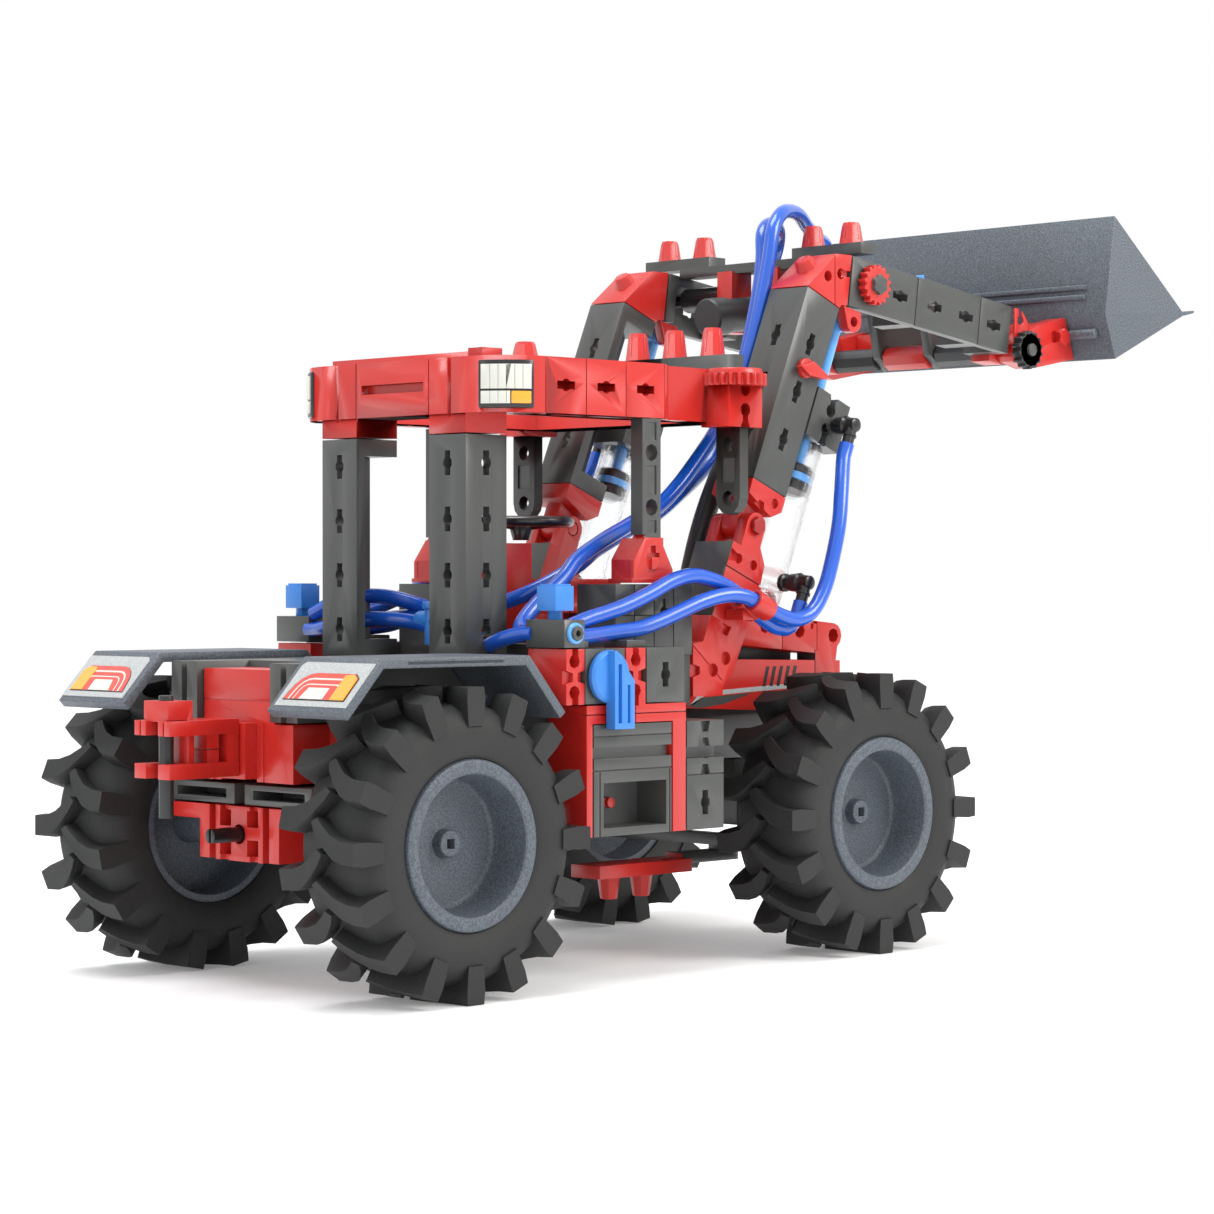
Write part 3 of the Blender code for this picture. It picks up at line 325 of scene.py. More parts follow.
def moulded(name, colour, roughness, speckle=0.0, grain=0.12, coat=0.0):
    """Moulded plastic or rubber: faint cloudy colour, fine surface grain, and speckles where it has them."""
    made = bpy.data.materials.new(name)
    made.use_nodes = True
    tree = made.node_tree
    shader = tree.nodes["Principled BSDF"]
    shader.inputs["Coat Weight"].default_value = coat
    shader.inputs["Coat Roughness"].default_value = 0.12
    place = tree.nodes.new("ShaderNodeTexCoord")
    cloud = add_node(tree, "ShaderNodeTexNoise", Scale=70.0, Detail=3.0)
    fine = add_node(tree, "ShaderNodeTexNoise", Scale=2600.0, Detail=2.0)
    tree.links.new(place.outputs["Object"], cloud.inputs["Vector"])
    tree.links.new(place.outputs["Object"], fine.inputs["Vector"])
    shade = tree.nodes.new("ShaderNodeMix")
    shade.data_type = "RGBA"
    shade.inputs[6].default_value = (*(c * 0.93 for c in colour), 1)
    shade.inputs[7].default_value = (*(min(1, c * 1.06) for c in colour), 1)
    tree.links.new(cloud.outputs["Fac"], shade.inputs["Factor"])
    result = shade.outputs[2]
    if speckle:
        dots = add_node(tree, "ShaderNodeTexNoise", Scale=1900.0, Detail=4.0, Roughness=0.7)
        tree.links.new(place.outputs["Object"], dots.inputs["Vector"])
        ramp = tree.nodes.new("ShaderNodeValToRGB")
        ramp.color_ramp.elements[0].position = 0.42
        ramp.color_ramp.elements[1].position = 0.62
        tree.links.new(dots.outputs["Fac"], ramp.inputs["Fac"])
        mix = tree.nodes.new("ShaderNodeMix")
        mix.data_type = "RGBA"
        mix.inputs[7].default_value = (*(min(1, c * (1 + speckle)) for c in colour), 1)
        tree.links.new(ramp.outputs["Color"], mix.inputs["Factor"])
        tree.links.new(result, mix.inputs[6])
        result = mix.outputs[2]
    tree.links.new(result, shader.inputs["Base Color"])
    rough = tree.nodes.new("ShaderNodeMapRange")
    rough.inputs["To Min"].default_value = roughness * 0.85
    rough.inputs["To Max"].default_value = roughness * 1.15
    tree.links.new(cloud.outputs["Fac"], rough.inputs["Value"])
    tree.links.new(rough.outputs["Result"], shader.inputs["Roughness"])
    bump = add_node(tree, "ShaderNodeBump", Strength=grain, Distance=0.0002)
    tree.links.new(fine.outputs["Fac"], bump.inputs["Height"])
    tree.links.new(bump.outputs["Normal"], shader.inputs["Normal"])
    return made


def clear_plastic(name):
    """Clear plastic whose gloss varies a little from place to place."""
    made = bpy.data.materials.new(name)
    made.use_nodes = True
    tree = made.node_tree
    shader = tree.nodes["Principled BSDF"]
    shader.inputs["Base Color"].default_value = (0.97, 0.98, 0.99, 1)
    shader.inputs["Transmission Weight"].default_value = 1.0
    shader.inputs["Alpha"].default_value = 0.45
    shader.inputs["IOR"].default_value = 1.3
    place = tree.nodes.new("ShaderNodeTexCoord")
    marks = add_node(tree, "ShaderNodeTexNoise", Scale=500.0, Detail=4.0)
    tree.links.new(place.outputs["Object"], marks.inputs["Vector"])
    rough = tree.nodes.new("ShaderNodeMapRange")
    rough.inputs["To Min"].default_value = 0.04
    rough.inputs["To Max"].default_value = 0.12
    tree.links.new(marks.outputs["Fac"], rough.inputs["Value"])
    tree.links.new(rough.outputs["Result"], shader.inputs["Roughness"])
    return made


def lamp_glow(name, colour, strength=0.0):
    """A glossy printed or clear lamp surface, which may glow a little."""
    made = moulded(name, colour, 0.12, grain=0.05, coat=0.6)
    shader = made.node_tree.nodes["Principled BSDF"]
    shader.inputs["Emission Color"].default_value = (*colour, 1)
    shader.inputs["Emission Strength"].default_value = strength
    return made


RED = moulded("red", (0.50, 0.017, 0.012), 0.34, coat=0.2)
DEEP_RED = moulded("deep_red", (0.30, 0.010, 0.009), 0.4)
GREY = moulded("warm_grey", (0.055, 0.058, 0.055), 0.36, coat=0.12)
DARK = moulded("dark_grey", (0.018, 0.020, 0.021), 0.42)
BLACK = moulded("black", (0.008, 0.008, 0.009), 0.3, coat=0.2)
STONE = moulded("speckled_grey", (0.060, 0.070, 0.083), 0.45, speckle=1.0, grain=0.5)
SPECKLED_RIM = moulded("rim_grey", (0.050, 0.060, 0.074), 0.5, speckle=1.1, grain=0.5)
RUBBER = moulded("rubber", (0.0095, 0.0098, 0.0096), 0.62, grain=0.7)
HOSE = moulded("hose_blue", (0.008, 0.085, 0.50), 0.22, coat=0.5, grain=0.03)
LEVER = moulded("lever_blue", (0.030, 0.20, 0.62), 0.35, coat=0.1)
ROD_BLUE = moulded("rod_blue", (0.10, 0.36, 0.80), 0.25, coat=0.3, grain=0.03)
SILVER = moulded("silver_print", (0.36, 0.37, 0.37), 0.4, speckle=0.3)
CLEAR = clear_plastic("clear_tube")
WHITE_LENS = lamp_glow("white_lens", (0.62, 0.62, 0.56))
AMBER_LENS = lamp_glow("amber_lens", (0.85, 0.33, 0.02), 0.1)
RED_LENS = lamp_glow("red_lens", (0.70, 0.035, 0.02), 0.1)


# ---------------------------------------------------------------- camera, light and floor


def camera_and_light():
    """The camera stands low behind the right rear wheel; the studio is plain and pale."""
    scene = bpy.context.scene
    lens = bpy.data.cameras.new("camera")
    lens.lens = LENS
    lens.sensor_width = 36.0
    lens.clip_start = 0.01
    camera = bpy.data.objects.new("camera", lens)
    back, across, height = CAMERA_FROM_CAB
    camera.location = (CAB_REAR_X + back, across, height)
    camera.rotation_euler = (math.radians(90 - CAMERA_DIP), 0, math.radians(CAMERA_HEADING - 90))
    scene.collection.objects.link(camera)
    scene.camera = camera
    scene.view_settings.view_transform = "Standard"
    world = bpy.data.worlds.new("studio")
    world.use_nodes = True
    background = world.node_tree.nodes["Background"]
    background.inputs["Color"].default_value = (1.0, 1.0, 1.0, 1)
    background.inputs["Strength"].default_value = 1.0
    scene.world = world
    lamps = (("key", (0.45, -1.4, 1.0), 0.7, 8.0, (1.0, 0.97, 0.93)),
             ("arm", (0.22, -0.5, 0.52), 0.3, 1.6, (1.0, 0.98, 0.95)),
             ("top", (-0.35, 0.1, 1.6), 0.9, 19.0, (0.95, 0.98, 1.0)),
             ("rear", (-1.6, 0.3, 0.9), 0.6, 2.0, (0.85, 0.93, 1.0)))
    for name, place, size, power, colour in lamps:
        light = bpy.data.lights.new(name, "AREA")
        light.size = size
        light.energy = power
        light.color = colour
        lamp = bpy.data.objects.new(name, light)
        lamp.location = place
        lamp.rotation_euler = (Vector((0, 0, 0.1)) - Vector(place)).to_track_quat("-Z", "Y").to_euler()
        scene.collection.objects.link(lamp)
    ground = bmesh.new()
    bmesh.ops.create_grid(ground, x_segments=8, y_segments=8, size=6.0)
    mesh = bpy.data.meshes.new("floor")
    ground.to_mesh(mesh)
    ground.free()
    floor = bpy.data.objects.new("floor", mesh)
    scene.collection.objects.link(floor)
    paper = moulded("floor_paper", (0.86, 0.86, 0.86), 0.7, grain=0.02)
    shader = paper.node_tree.nodes["Principled BSDF"]
    shader.inputs["Emission Color"].default_value = (1, 1, 1, 1)
    shader.inputs["Emission Strength"].default_value = FLOOR_GLOW
    mesh.materials.append(paper)


# ---------------------------------------------------------------- wheels


def tyre_shapes(x, side):
    """The carcass, and two staggered rows of curved lugs that wrap onto the shoulders."""
    inner, outer = TYRE_INNER, TYRE_OUTER
    middle = (inner + outer) / 2
    carcass = [(inner + 1.6, 22.0), (inner + 0.6, 23.4), (inner, 27), (inner, 30.4), (inner + 1.6, 33.4),
               (inner + 5, 35.4), (middle, 36.2), (outer - 5, 35.4), (outer - 1.6, 33.4), (outer, 30.4),
               (outer, 27), (outer - 0.5, 23.4), (outer - 1.4, 22.0)]
    shapes = [turned([(side * y, r) for y, r in carcass], (x, 0, AXLE_Z), (0, 1, 0), 96)]
    # (turn in degrees, distance from the shoulder) round one lug, from the shoulder to its tip and back
    lug = [(-4.3, 0.0), (4.3, 0.0), (4.2, 5.2), (2.6, 8.6), (-1.4, 12.2), (-6.6, 15.6), (-10.6, 17.2),
           (-12.6, 15.2), (-9.6, 12.6), (-6.4, 9.4), (-4.6, 5.4)]
    lugs = []
    for row, edge, way in ((0, outer + 0.45, -1), (1, inner - 0.45, 1)):
        for i in range(LUGS_IN_ROW):
            base = 360 / LUGS_IN_ROW * (i + 0.5 * row) + 90
            levels = []
            for radius, spread in ((30.2, 1.12), (36.6, 1.1), (39.7, 0.94), (40.0, 0.88)):
                ring = []
                for turn, inward in lug:
                    centre = -0.6 * inward
                    angle = math.radians(base + centre + (turn - centre) * spread)
                    y = edge + way * (inward if radius < 39 else inward * 0.985 + 0.12)
                    ring.append((x + radius * math.cos(angle), side * y, AXLE_Z + radius * math.sin(angle)))
                levels.append(ring)
            lugs.append(skinned(levels))
    return shapes + lugs


def wheels():
    for end, x in WHEELS_X:
        for hand, side in SIDES:
            body = f"wheel_{end}_{hand}"
            make(f"tyre_{end}_{hand}_rubber", body, RUBBER, tyre_shapes(x, side), bevel=0,
                 replaces=[f"tyre_{end}_{hand}"], angle=32)
            stub = 24.0 if end == "rear" else 30.0
            dish = [(stub, 0), (stub, 2.0), (39.4, 2.0), (39.4, 4.6), (50.6, 6.2), (50.6, 19.4), (40.6, 19.8),
                    (40.6, 21.9), (65.4, 21.9), (66.3, 21.6), (66.6, 20.9), (66.6, 18.6), (66.2, 18.0),
                    (58, 17.2), (55.6, 16.6), (54.8, 15.8), (54.6, 4.3), (54.8, 3.7), (57.4, 3.5),
                    (57.8, 3.2), (57.8, 0)]
            shape = turned([(side * y, r) for y, r in dish], (x, 0, AXLE_Z), (0, 1, 0), 72)
            hole = block((x - 1.25, x + 1.25), both_sides(54.2, 60, side), (AXLE_Z - 1.25, AXLE_Z + 1.25))
            make(f"rim_{end}_{hand}_dish", body, SPECKLED_RIM, [shape], [hole], bevel=0.12,
                 replaces=[f"rim_{end}_{hand}"])


# ---------------------------------------------------------------- dressed CAD parts


def body_holding(node):
    bodies = frame["record"]["behaviour"]["bodies"]
    return next(body for body, nodes in bodies.items() if node in nodes)


def dressed(node, finish, cuts=(), extra=(), bevel=0.25, paint=()):
    """A CAD part with rounded edges and finer detail, standing for its node."""
    shapes = [cad_shape(node), *extra]
    return make(node + "_finished", body_holding(node), finish, shapes, cuts, bevel, [node], paint=paint)


def bulges(centre, count, normal, along, radius=1.75, depth=4.4):
    """The round middles of a row of slots, one grid step apart."""
    reach = Vector(normal) * depth
    places = [Vector(centre) + Vector(along) * GRID * i for i in range(count)]
    return [rod(place - reach, place + reach, radius, 16) for place in places]


def seams(xs, y, z):
    """Fine upright joint lines, cut across a flat side."""
    return [block((x - 0.17, x + 0.17), y, z) for x in xs]


def grooved(centre, normal, edge):
    """A block's T-groove where it comes out at an edge: a round hole, a flat neck and a wider mouth."""
    normal, edge = Vector(normal), Vector(edge)
    across = edge.cross(normal)
    hole_end = 3.1
    neck = [(-1.1, -hole_end), (1.1, -hole_end), (1.1, -1.4), (1.9, 0.3), (-1.9, 0.3), (-1.1, -1.4)]
    hole_centre = Vector(centre) - edge * (hole_end + 1.4)
    return [rod(hole_centre - normal * 3, hole_centre + normal * 3, 1.95, 20),
            oriented(neck, centre, normal, edge, 3)]


def block_face(centre, normal, up, half=7.4, ways="udlr"):
    """Grooves at the middles of a square block face's edges."""
    normal, up = Vector(normal), Vector(up)
    right = up.cross(normal)
    edges = {"u": up, "d": -up, "l": -right, "r": right}
    return [shape for way in ways
            for shape in grooved(Vector(centre) + edges[way] * half, normal, edges[way])]


def necks(centre, normal, edges, half=7.4):
    """Small dovetail mouths only, at some edges of a block face."""
    mouth = [(-1.1, -2.6), (1.1, -2.6), (1.9, 0.3), (-1.9, 0.3)]
    return [oriented(mouth, Vector(centre) + Vector(e) * half, normal, e, 1.6) for e in edges]


def toothed(centre, radius, teeth, low, high):
    """A knurled disc across the machine: an outline that steps in and out."""
    outline = []
    for i in range(teeth * 2):
        reach = radius if i % 2 else radius * 0.84
        for offset in (-0.28, 0.28):
            angle = math.pi * (i + offset) / teeth
            outline.append((centre[0] + reach * math.cos(angle), centre[1] + reach * math.sin(angle)))
    return prism(outline, low, high)


def rear_posts():
    floor = 85.4
    for hand, side in SIDES:
        cuts = bulges((0, side * 22.5, floor + GRID / 2), 4, (1, 0, 0), (0, 0, 1))
        cuts += bulges((GRID / 2, side * 30, floor + GRID / 2), 4, (0, 1, 0), (0, 0, 1))
        dressed(f"rear_post_{hand}", GREY, cuts)


def roof():
    top, low = 166.0, 151.0
    cuts, extra = [], []
    for side in (1, -1):
        outer = both_sides(44.5, 46, side)
        cuts += bulges((22.5, side * 45, 158.6), 3, (0, 1, 0), (1, 0, 0), depth=3)
        cuts += seams((15, 30, 45, 60), outer, (low - 1, top + 1))
        cuts += block_face((90, side * 47.4, 157.3), (0, side, 0), (0, 0, 1), 7.4, "ud")
        cuts += necks((7.5, side * 22.5, 148.5), (-1, 0, 0), [(0, 0, -1)], 2.4)
        cuts.append(block((87.9, 88.7), both_sides(39.6, 44.8, side), (134, 141)))
        extra.append(block((88.0, 88.8), both_sides(41.4, 43, side), (134.6, 140.4)))
        for x in (22.5, 37.5, 52.5):
            cuts += necks((x, side * 37.5, low), (0, side, 0), [(0, 0, -1)], 0.2)
    cuts += [block((-1, 0.5), both_sides(14.9, 15.3, side), (low - 1, top + 1)) for side in (-1, 1)]
    extra.append(block((4, 9.5), (-27, 30), (top - 0.5, top + 1.6)))
    extra.append(block((3.2, 10.4), (-33, -27.4), (top - 0.5, top + 2.4)))
    extra.append(peg((15, -37, top - 0.3), (0, 0, 1), 4.4)[0])
    for y in (-5, -20, -35):
        body, flutes = peg((89.5, y, 169.8), (0, 0, 1), 8.2)
        extra.append(body)
        cuts += flutes
    paint = [(GREY, (87, 93), (37, 48), (120, 149.35)), (GREY, (85, 94), (0, 46), (166.2, 170.2))]
    dressed("roof_frame", RED, cuts, extra, 0.3, paint)
    gear_x, gear_y = ROOF_GEAR
    teeth = []
    for i in range(88):
        reach = 9.0 if i % 4 < 2 else 7.6
        angle = math.pi * i / 44
        teeth.append((gear_x + reach * math.cos(angle), gear_y + reach * math.sin(angle)))
    tooth_slopes = prism(teeth, 161.2, 164.6, "z")
    disc = turned([(164.4, 0), (164.4, 8.2), (166.0, 7.6), (166.0, 0)], (*ROOF_GEAR, 0), (0, 0, 1), 44)
    make("roof_gear", "body", RED, [tooth_slopes, disc], bevel=0.15)
    make("roof_side_peg", "body", RED, [block((96.5, 100.2), (-43.6, -40.4), (155.4, 158.4))], bevel=0.3)
    for hand, side in SIDES:
        headlight(hand, side)


def corner_band(side, radius, start, end, z):
    """A piece wrapped round a rear corner of the roof, between two angles from the side."""
    centre = (15, side * 30)
    sweep = (180 + start, 180 + end) if side < 0 else (180 - start, 180 - end)
    outline = arc(centre, radius, *sweep, 10) + arc(centre, radius - 1.4, sweep[1], sweep[0], 10)
    return prism(outline, *z, "z")


def headlight(hand, side):
    """A wrap-round lamp unit: black bezel, ribbed white lens, amber corner."""
    z = 158.4
    make(f"headlight_{hand}_bezel", "body", BLACK,
         [corner_band(side, 15.5, 17, 75, (z - 6.4, z + 6.4))], bevel=0.5)
    make(f"headlight_{hand}_lens", "body", WHITE_LENS,
         [corner_band(side, 15.9, 21, 71, (z - 1.3, z + 5.2)),
          corner_band(side, 15.9, 21, 50, (z - 5.2, z - 1.9))],
         [corner_band(side, 17.0, a, a + 0.7, (z - 5, z + 5)) for a in (30, 38, 46, 54, 62)], bevel=0.3)
    make(f"headlight_{hand}_amber", "body", AMBER_LENS,
         [corner_band(side, 16.0, 51, 71, (z - 5.2, z - 1.9))], bevel=0.3)


def cab_inside():
    for hand, side in SIDES:
        outer = both_sides(44.3, 46, side)
        cuts = [block((53.1, 56.9), outer, z) for z in ((130, 138), (119.5, 123), (145, 149.8))]
        cuts += [prism([(46, 119), (52.5, 119), (46, 110)], *both_sides(35, 46, side)),
                 prism([(64, 119), (58.9, 119), (58.9, 116), (64, 107)], *both_sides(35, 46, side)),
                 block((54, 56), outer, (110, 116)), block((52.6, 57.4), outer, (112.2, 114))]
        extra = [block((53.6, 56.4), both_sides(44, 46.4, side), (109.5, 112.8)),
                 block((47.4, 62.6), both_sides(44, 45.5, side), (107, 118.2)),
                 block((46.6, 63.6), both_sides(36.4, 45.6, side), (105.8, 107))]
        dressed(f"mid_post_{hand}", GREY, cuts, extra, 0.25, [(RED, (44, 66), (0, 50), (105, 118.3))])
    ribs = [block((30.6, 31.7), (y - 0.4, y + 0.4), (98.6, 106.2))
            for y in (-6, -4.2, -2.4, -0.6, 1.2, 3, 4.8)]
    frames = [block((52, 74), both_sides(6.9, 8, side), (99.5, 104.5)) for side in (1, -1)]
    dressed("dash_console", RED, ribs + frames + seams((60,), (-8, 8), (96, 108)))
    ring = [(1.5 * math.cos(a * math.pi / 5), 13.5 + 1.5 * math.sin(a * math.pi / 5)) for a in range(10)]
    spokes = [rod((48, 0, 121.4), (48 + 13 * math.cos(a), 13 * math.sin(a), 122.8), 1.0, 12)
              for a in (math.radians(180), math.radians(60), math.radians(-60))]
    hub = turned([(0, 0), (0, 2.4), (3.6, 3.4), (4.6, 2.9), (4.9, 0)], (48, 0, 117.8), (0, 0, 1), 24)
    rim = turned(ring, (48, 0, 123), (0, 0, 1), 64)
    make("steering_wheel_ring", "steering_wheel", BLACK, [rim, hub, *spokes], bevel=0,
         replaces=["steering_wheel"], angle=50)


def hood_and_exhaust():
    cuts = []
    for side in (1, -1):
        outer = both_sides(28.9, 31, side)
        cuts += seams((138.9,), outer, (66, 86))
        cuts += seams((124.6, 139.8), outer, (85.5, 100))
        for x, z in ((124.6, 94.2), (139.6, 92.6)):
            cuts += [block((x - 2.6, x - 1.4), outer, (z - 0.5, z + 1.8)),
                     block((x - 2.6, x), outer, (z + 1, z + 1.8))]
    # Painted shade: a dark block fills the hood's inside and stands in for the shadowed space under its deck
    shade_filler = block((99, 139), (-20, 20), (82.6, 88.4))
    dressed("hood", RED, cuts, paint=[(GREY, (139, 151), (0, 31), (66, 84.9))])
    make("hood_painted_shade", "body", DARK, [shade_filler], bevel=0.3)
    for hand, side in SIDES:
        flat = both_sides(29.4, 29.78, side)
        stripe = [(86, 71.2), (90, 74.6), (118, 75.8), (138.8, 76.6), (138.8, 75.4), (118, 74.4),
                  (91.4, 73.4), (87.2, 71)]
        make(f"hood_stripe_{hand}", "body", SILVER, [prism(stripe, *flat)], bevel=0)
        wedge = [(84.6, 70.6), (90.4, 73.0), (112, 73.9), (100, 71.0), (90, 70.0)]
        make(f"hood_wedge_{hand}", "body", GREY, [prism(wedge, *flat)], bevel=0)
        slashes = [prism([(x, 75.6), (x + 1.3, 75.6), (x + 3.0, 81.4), (x + 1.7, 81.4)], *flat)
                   for x in (116, 119, 122, 125, 128)]
        make(f"hood_vents_{hand}", "body", DARK, slashes, bevel=0)


def side_row():
    """Blocks, valves and cases along the machine's sides."""
    port_x, port_z = VALVE_PORT
    for hand, side in SIDES:
        y = both_sides(57.4, 61, side)
        cuts = []
        for x in (11.6, 33.9):
            for edge, z in ((1, 85.4), (-1, 77.2)):
                cuts.append(block((x - 1.1, x + 1.1), y, (z, z + 4 * edge)))
            cuts += necks((x, side * CASE_FACE, 81.2), (0, side, 0), [(-1, 0, 0), (1, 0, 0)], 3.5)
        cuts += [block((15, 54), y, (71.0, 71.3)), block((33.6, 34), y, (68, 74))]
        dressed(f"side_frame_{hand}", RED, cuts)
        port = rod((port_x, side * 59, port_z), (port_x, side * 62, port_z), 0.9, 12)
        dressed(f"hand_valve_{hand}", GREY, [port])
        ring = turned([(0, 1.2), (0, 2.9), (0.8, 2.7), (0.8, 1.2)], (port_x, side * CASE_FACE, port_z),
                      (0, side, 0), 28)
        make(f"hand_valve_{hand}_ring", "body", ROD_BLUE, [ring], bevel=0.1)
        cap = block((8.6, 14.1), both_sides(49.4, 55.6, side), (104.4, 105.6))
        dressed(f"valve_knob_{hand}", LEVER, extra=[cap], bevel=0.45)
        peg_shape = rod((33, side * 47.6, 47), (33, side * 51.5, 47), 1.5, 12)
        ears = [block((31.2, 34.8), both_sides(47.6, 50.5, side), (45.8, 48.2))]
        make(f"case_peg_{hand}", "body", RED, [peg_shape, *ears], bevel=0.2)
        tabs = [block(x, both_sides(48, 57, side), (88.5, 90.6)) for x in ((16, 19.2), (33.4, 40.4))]
        make(f"row_tabs_{hand}", "body", GREY, tabs, bevel=0.3)
    dressed("rotary_valve", GREY, seams((22.6,), (-61, -59.6), (84, 90)))
    disc = turned([(0.4, 0), (0.4, 7.0), (1.6, 7.0), (2.3, 6.2), (2.3, 0)], ROTARY_PIVOT, (0, -1, 0), 56)
    pointer = prism([(21.6, 88.0), (22.6, 88.0), (29.0, 80.0), (29.0, 67.4), (21.7, 67.4)], -64.4, -61.0)
    cuts = [block((23.0, 24.3), (-66, -63.2), (69, 84.5)), block((26.4, 27.4), (-66, -63.6), (69, 79))]
    axle = rod((22.8, -56, 81.2), ROTARY_PIVOT, 2.4)
    make("rotary_lever_handle", "rotary_lever", LEVER, [disc, pointer, axle], cuts, 0.5, ["rotary_lever"])


def chassis():
    cuts = []
    for side in (1, -1):
        face = side * CASE_FACE
        out = (0, side, 0)
        outer = both_sides(59.3, 61, side)
        for x, z in ((60.6, 64.6), (60.6, 57.4)):
            cuts += necks((x, face, z), out, [(0, 0, 1), (0, 0, -1)], 3.4)
        cuts += bulges((60.6, face, 46.2), 1, out, (0, 0, 1), depth=3)
        cuts += bulges((45.2, face, 81.3), 1, out, (0, 0, 1), depth=3)
        cuts.append(block((53, 69), outer, (53.7, 54.05)))
        cuts += [block((18, 48), outer, (z, z + 0.35)) for z in (56.2, 65.2)]
        cuts += [block((20.4, 20.8), outer, (BELLY - 1, 56)), block((46.6, 47.0), outer, (BELLY - 1, 56))]
        inner_row = both_sides(44.2, 46, side)
        cuts += seams((48.4, 56, 63.6), inner_row, (88, 107))
        cuts += bulges((59.8, side * 44.9, 98), 1, out, (0, 0, 1), depth=3, radius=1.4)
        cuts += [block((59.1, 60.5), inner_row, (94.6, 101.4))]
        cuts.append(block((41, 71), inner_row, (96.8, 97.1)))
    dressed("chassis_core", GREY, cuts, [block((84, 136), (-14, 14), (66, 73))], 0.22)
    dressed("front_axle", GREY)
    for hand, _ in SIDES:
        dressed(f"knuckle_{hand}", RED)
    paint = [(RED, (57, 96.4), (8, 22), (16, 26.6)), (DARK, (57, 118), (0, 40), (26.6, 34))]
    plate_cuts = [block((x, x + 4), (-18.5, -16.5), (21, 27)) for x in (61, 73, 86)]
    dressed("tie_rod", RED, plate_cuts, paint=[(GREY, (96.5, 120), (0, 40), (20, 34))])


def fenders():
    for hand, side in SIDES:
        cuts = [block((-46, -14), both_sides(59.3, 61, side), (85.6, 86.2))]
        dressed(f"fender_{hand}", STONE, cuts, bevel=0.35)
        tail_lamp(hand, side)


def tail_lamp(hand, side):
    """The printed lamp panel on a fender's rear slope: its x and z come from the slope, w runs outwards."""
    low, high = (-66.6, 74.9), (-55.9, 86.5)
    run = Vector((high[0] - low[0], 0, high[1] - low[1]))
    length = run.length
    up = run.normalized()
    out = Vector((-up.z, 0, up.x))

    def panel(name, finish, points, lift):
        levels = [[Vector((low[0], side * (31.8 + w), low[1])) + up * t + out * height for w, t in points]
                  for height in (-0.3, lift)]
        make(f"tail_lamp_{hand}_{name}", "body", finish, [skinned(levels)], bevel=0)

    def outline(rise, inset):
        """The lamp's shape, square at its outer lower corner and rounded along its inner top."""
        return [(2.0 + inset, rise), (2.4 + inset, rise + 2.6), *[(9.0 - (6.4 - inset) * math.cos(a),
                rise + 2.8 + (6.2 - inset) * math.sin(a)) for a in (0.4, 0.8, 1.2, 1.57)],
                (24.0 - inset, rise + 9.0 - inset), (26.0 - inset, rise + 7.6 - inset), (26.0 - inset, rise)]

    base = [(0.4, 0.6), (0.4, length - 2), (1.6, length - 0.8), (28.0, length - 0.8), (28.0, 0.6)]
    panel("base", SILVER, base, 0.20)
    panel("edge", BLACK, outline(2.4, 0.0), 0.26)
    panel("outer", RED_LENS, outline(2.7, 0.4), 0.32)
    panel("line", WHITE_LENS, outline(2.7, 2.0), 0.36)
    panel("inner", RED_LENS, outline(2.7, 2.6), 0.40)
    panel("second_line", WHITE_LENS, outline(2.7, 4.0), 0.44)
    panel("middle", RED_LENS, outline(2.7, 4.4), 0.48)
    panel("centre", WHITE_LENS, [(8.4, 2.7), (9.6, 6.4), (17.6, 6.4), (17.6, 2.7)], 0.52)
    panel("amber", AMBER_LENS, [(20.4, 2.7), (20.4, 10.6), (23.6, 11.0), (25.6, 9.6), (25.6, 2.7)], 0.56)


def rear_end():
    cuts = [block((-53, -52.2), (-15.5, 15.5), (75.2, 75.5))]
    for side in (1, -1):
        cuts += [block((-53, -37), both_sides(14.7, 15.3, side), (69.6, 76)),
                 block((-54, -51.8), both_sides(10.2, 10.6, side), (54, 69.6))]
        cuts += necks((-52.5, side * 6.2, 40.5), (-1, 0, 0), [(0, 0, 1), (0, 0, -1)], 7.0)
    dressed("rear_blocks", RED, cuts)
    dressed("pto_shaft", BLACK, [block((-64, -59), (-0.4, 0.4), (38, 43))], bevel=0.2)
    hitch = [block((-80, -70), (-0.5, 0.5), (56, 57)), block((-67, -62), (-6, 6), (63, 63.3))]
    hitch += [block((-80.4, -73), both_sides(4.6, 5.2, side), (66, 71)) for side in (1, -1)]
    dressed("hitch_bracket", RED, hitch)
    dressed("hitch_pin", DARK)


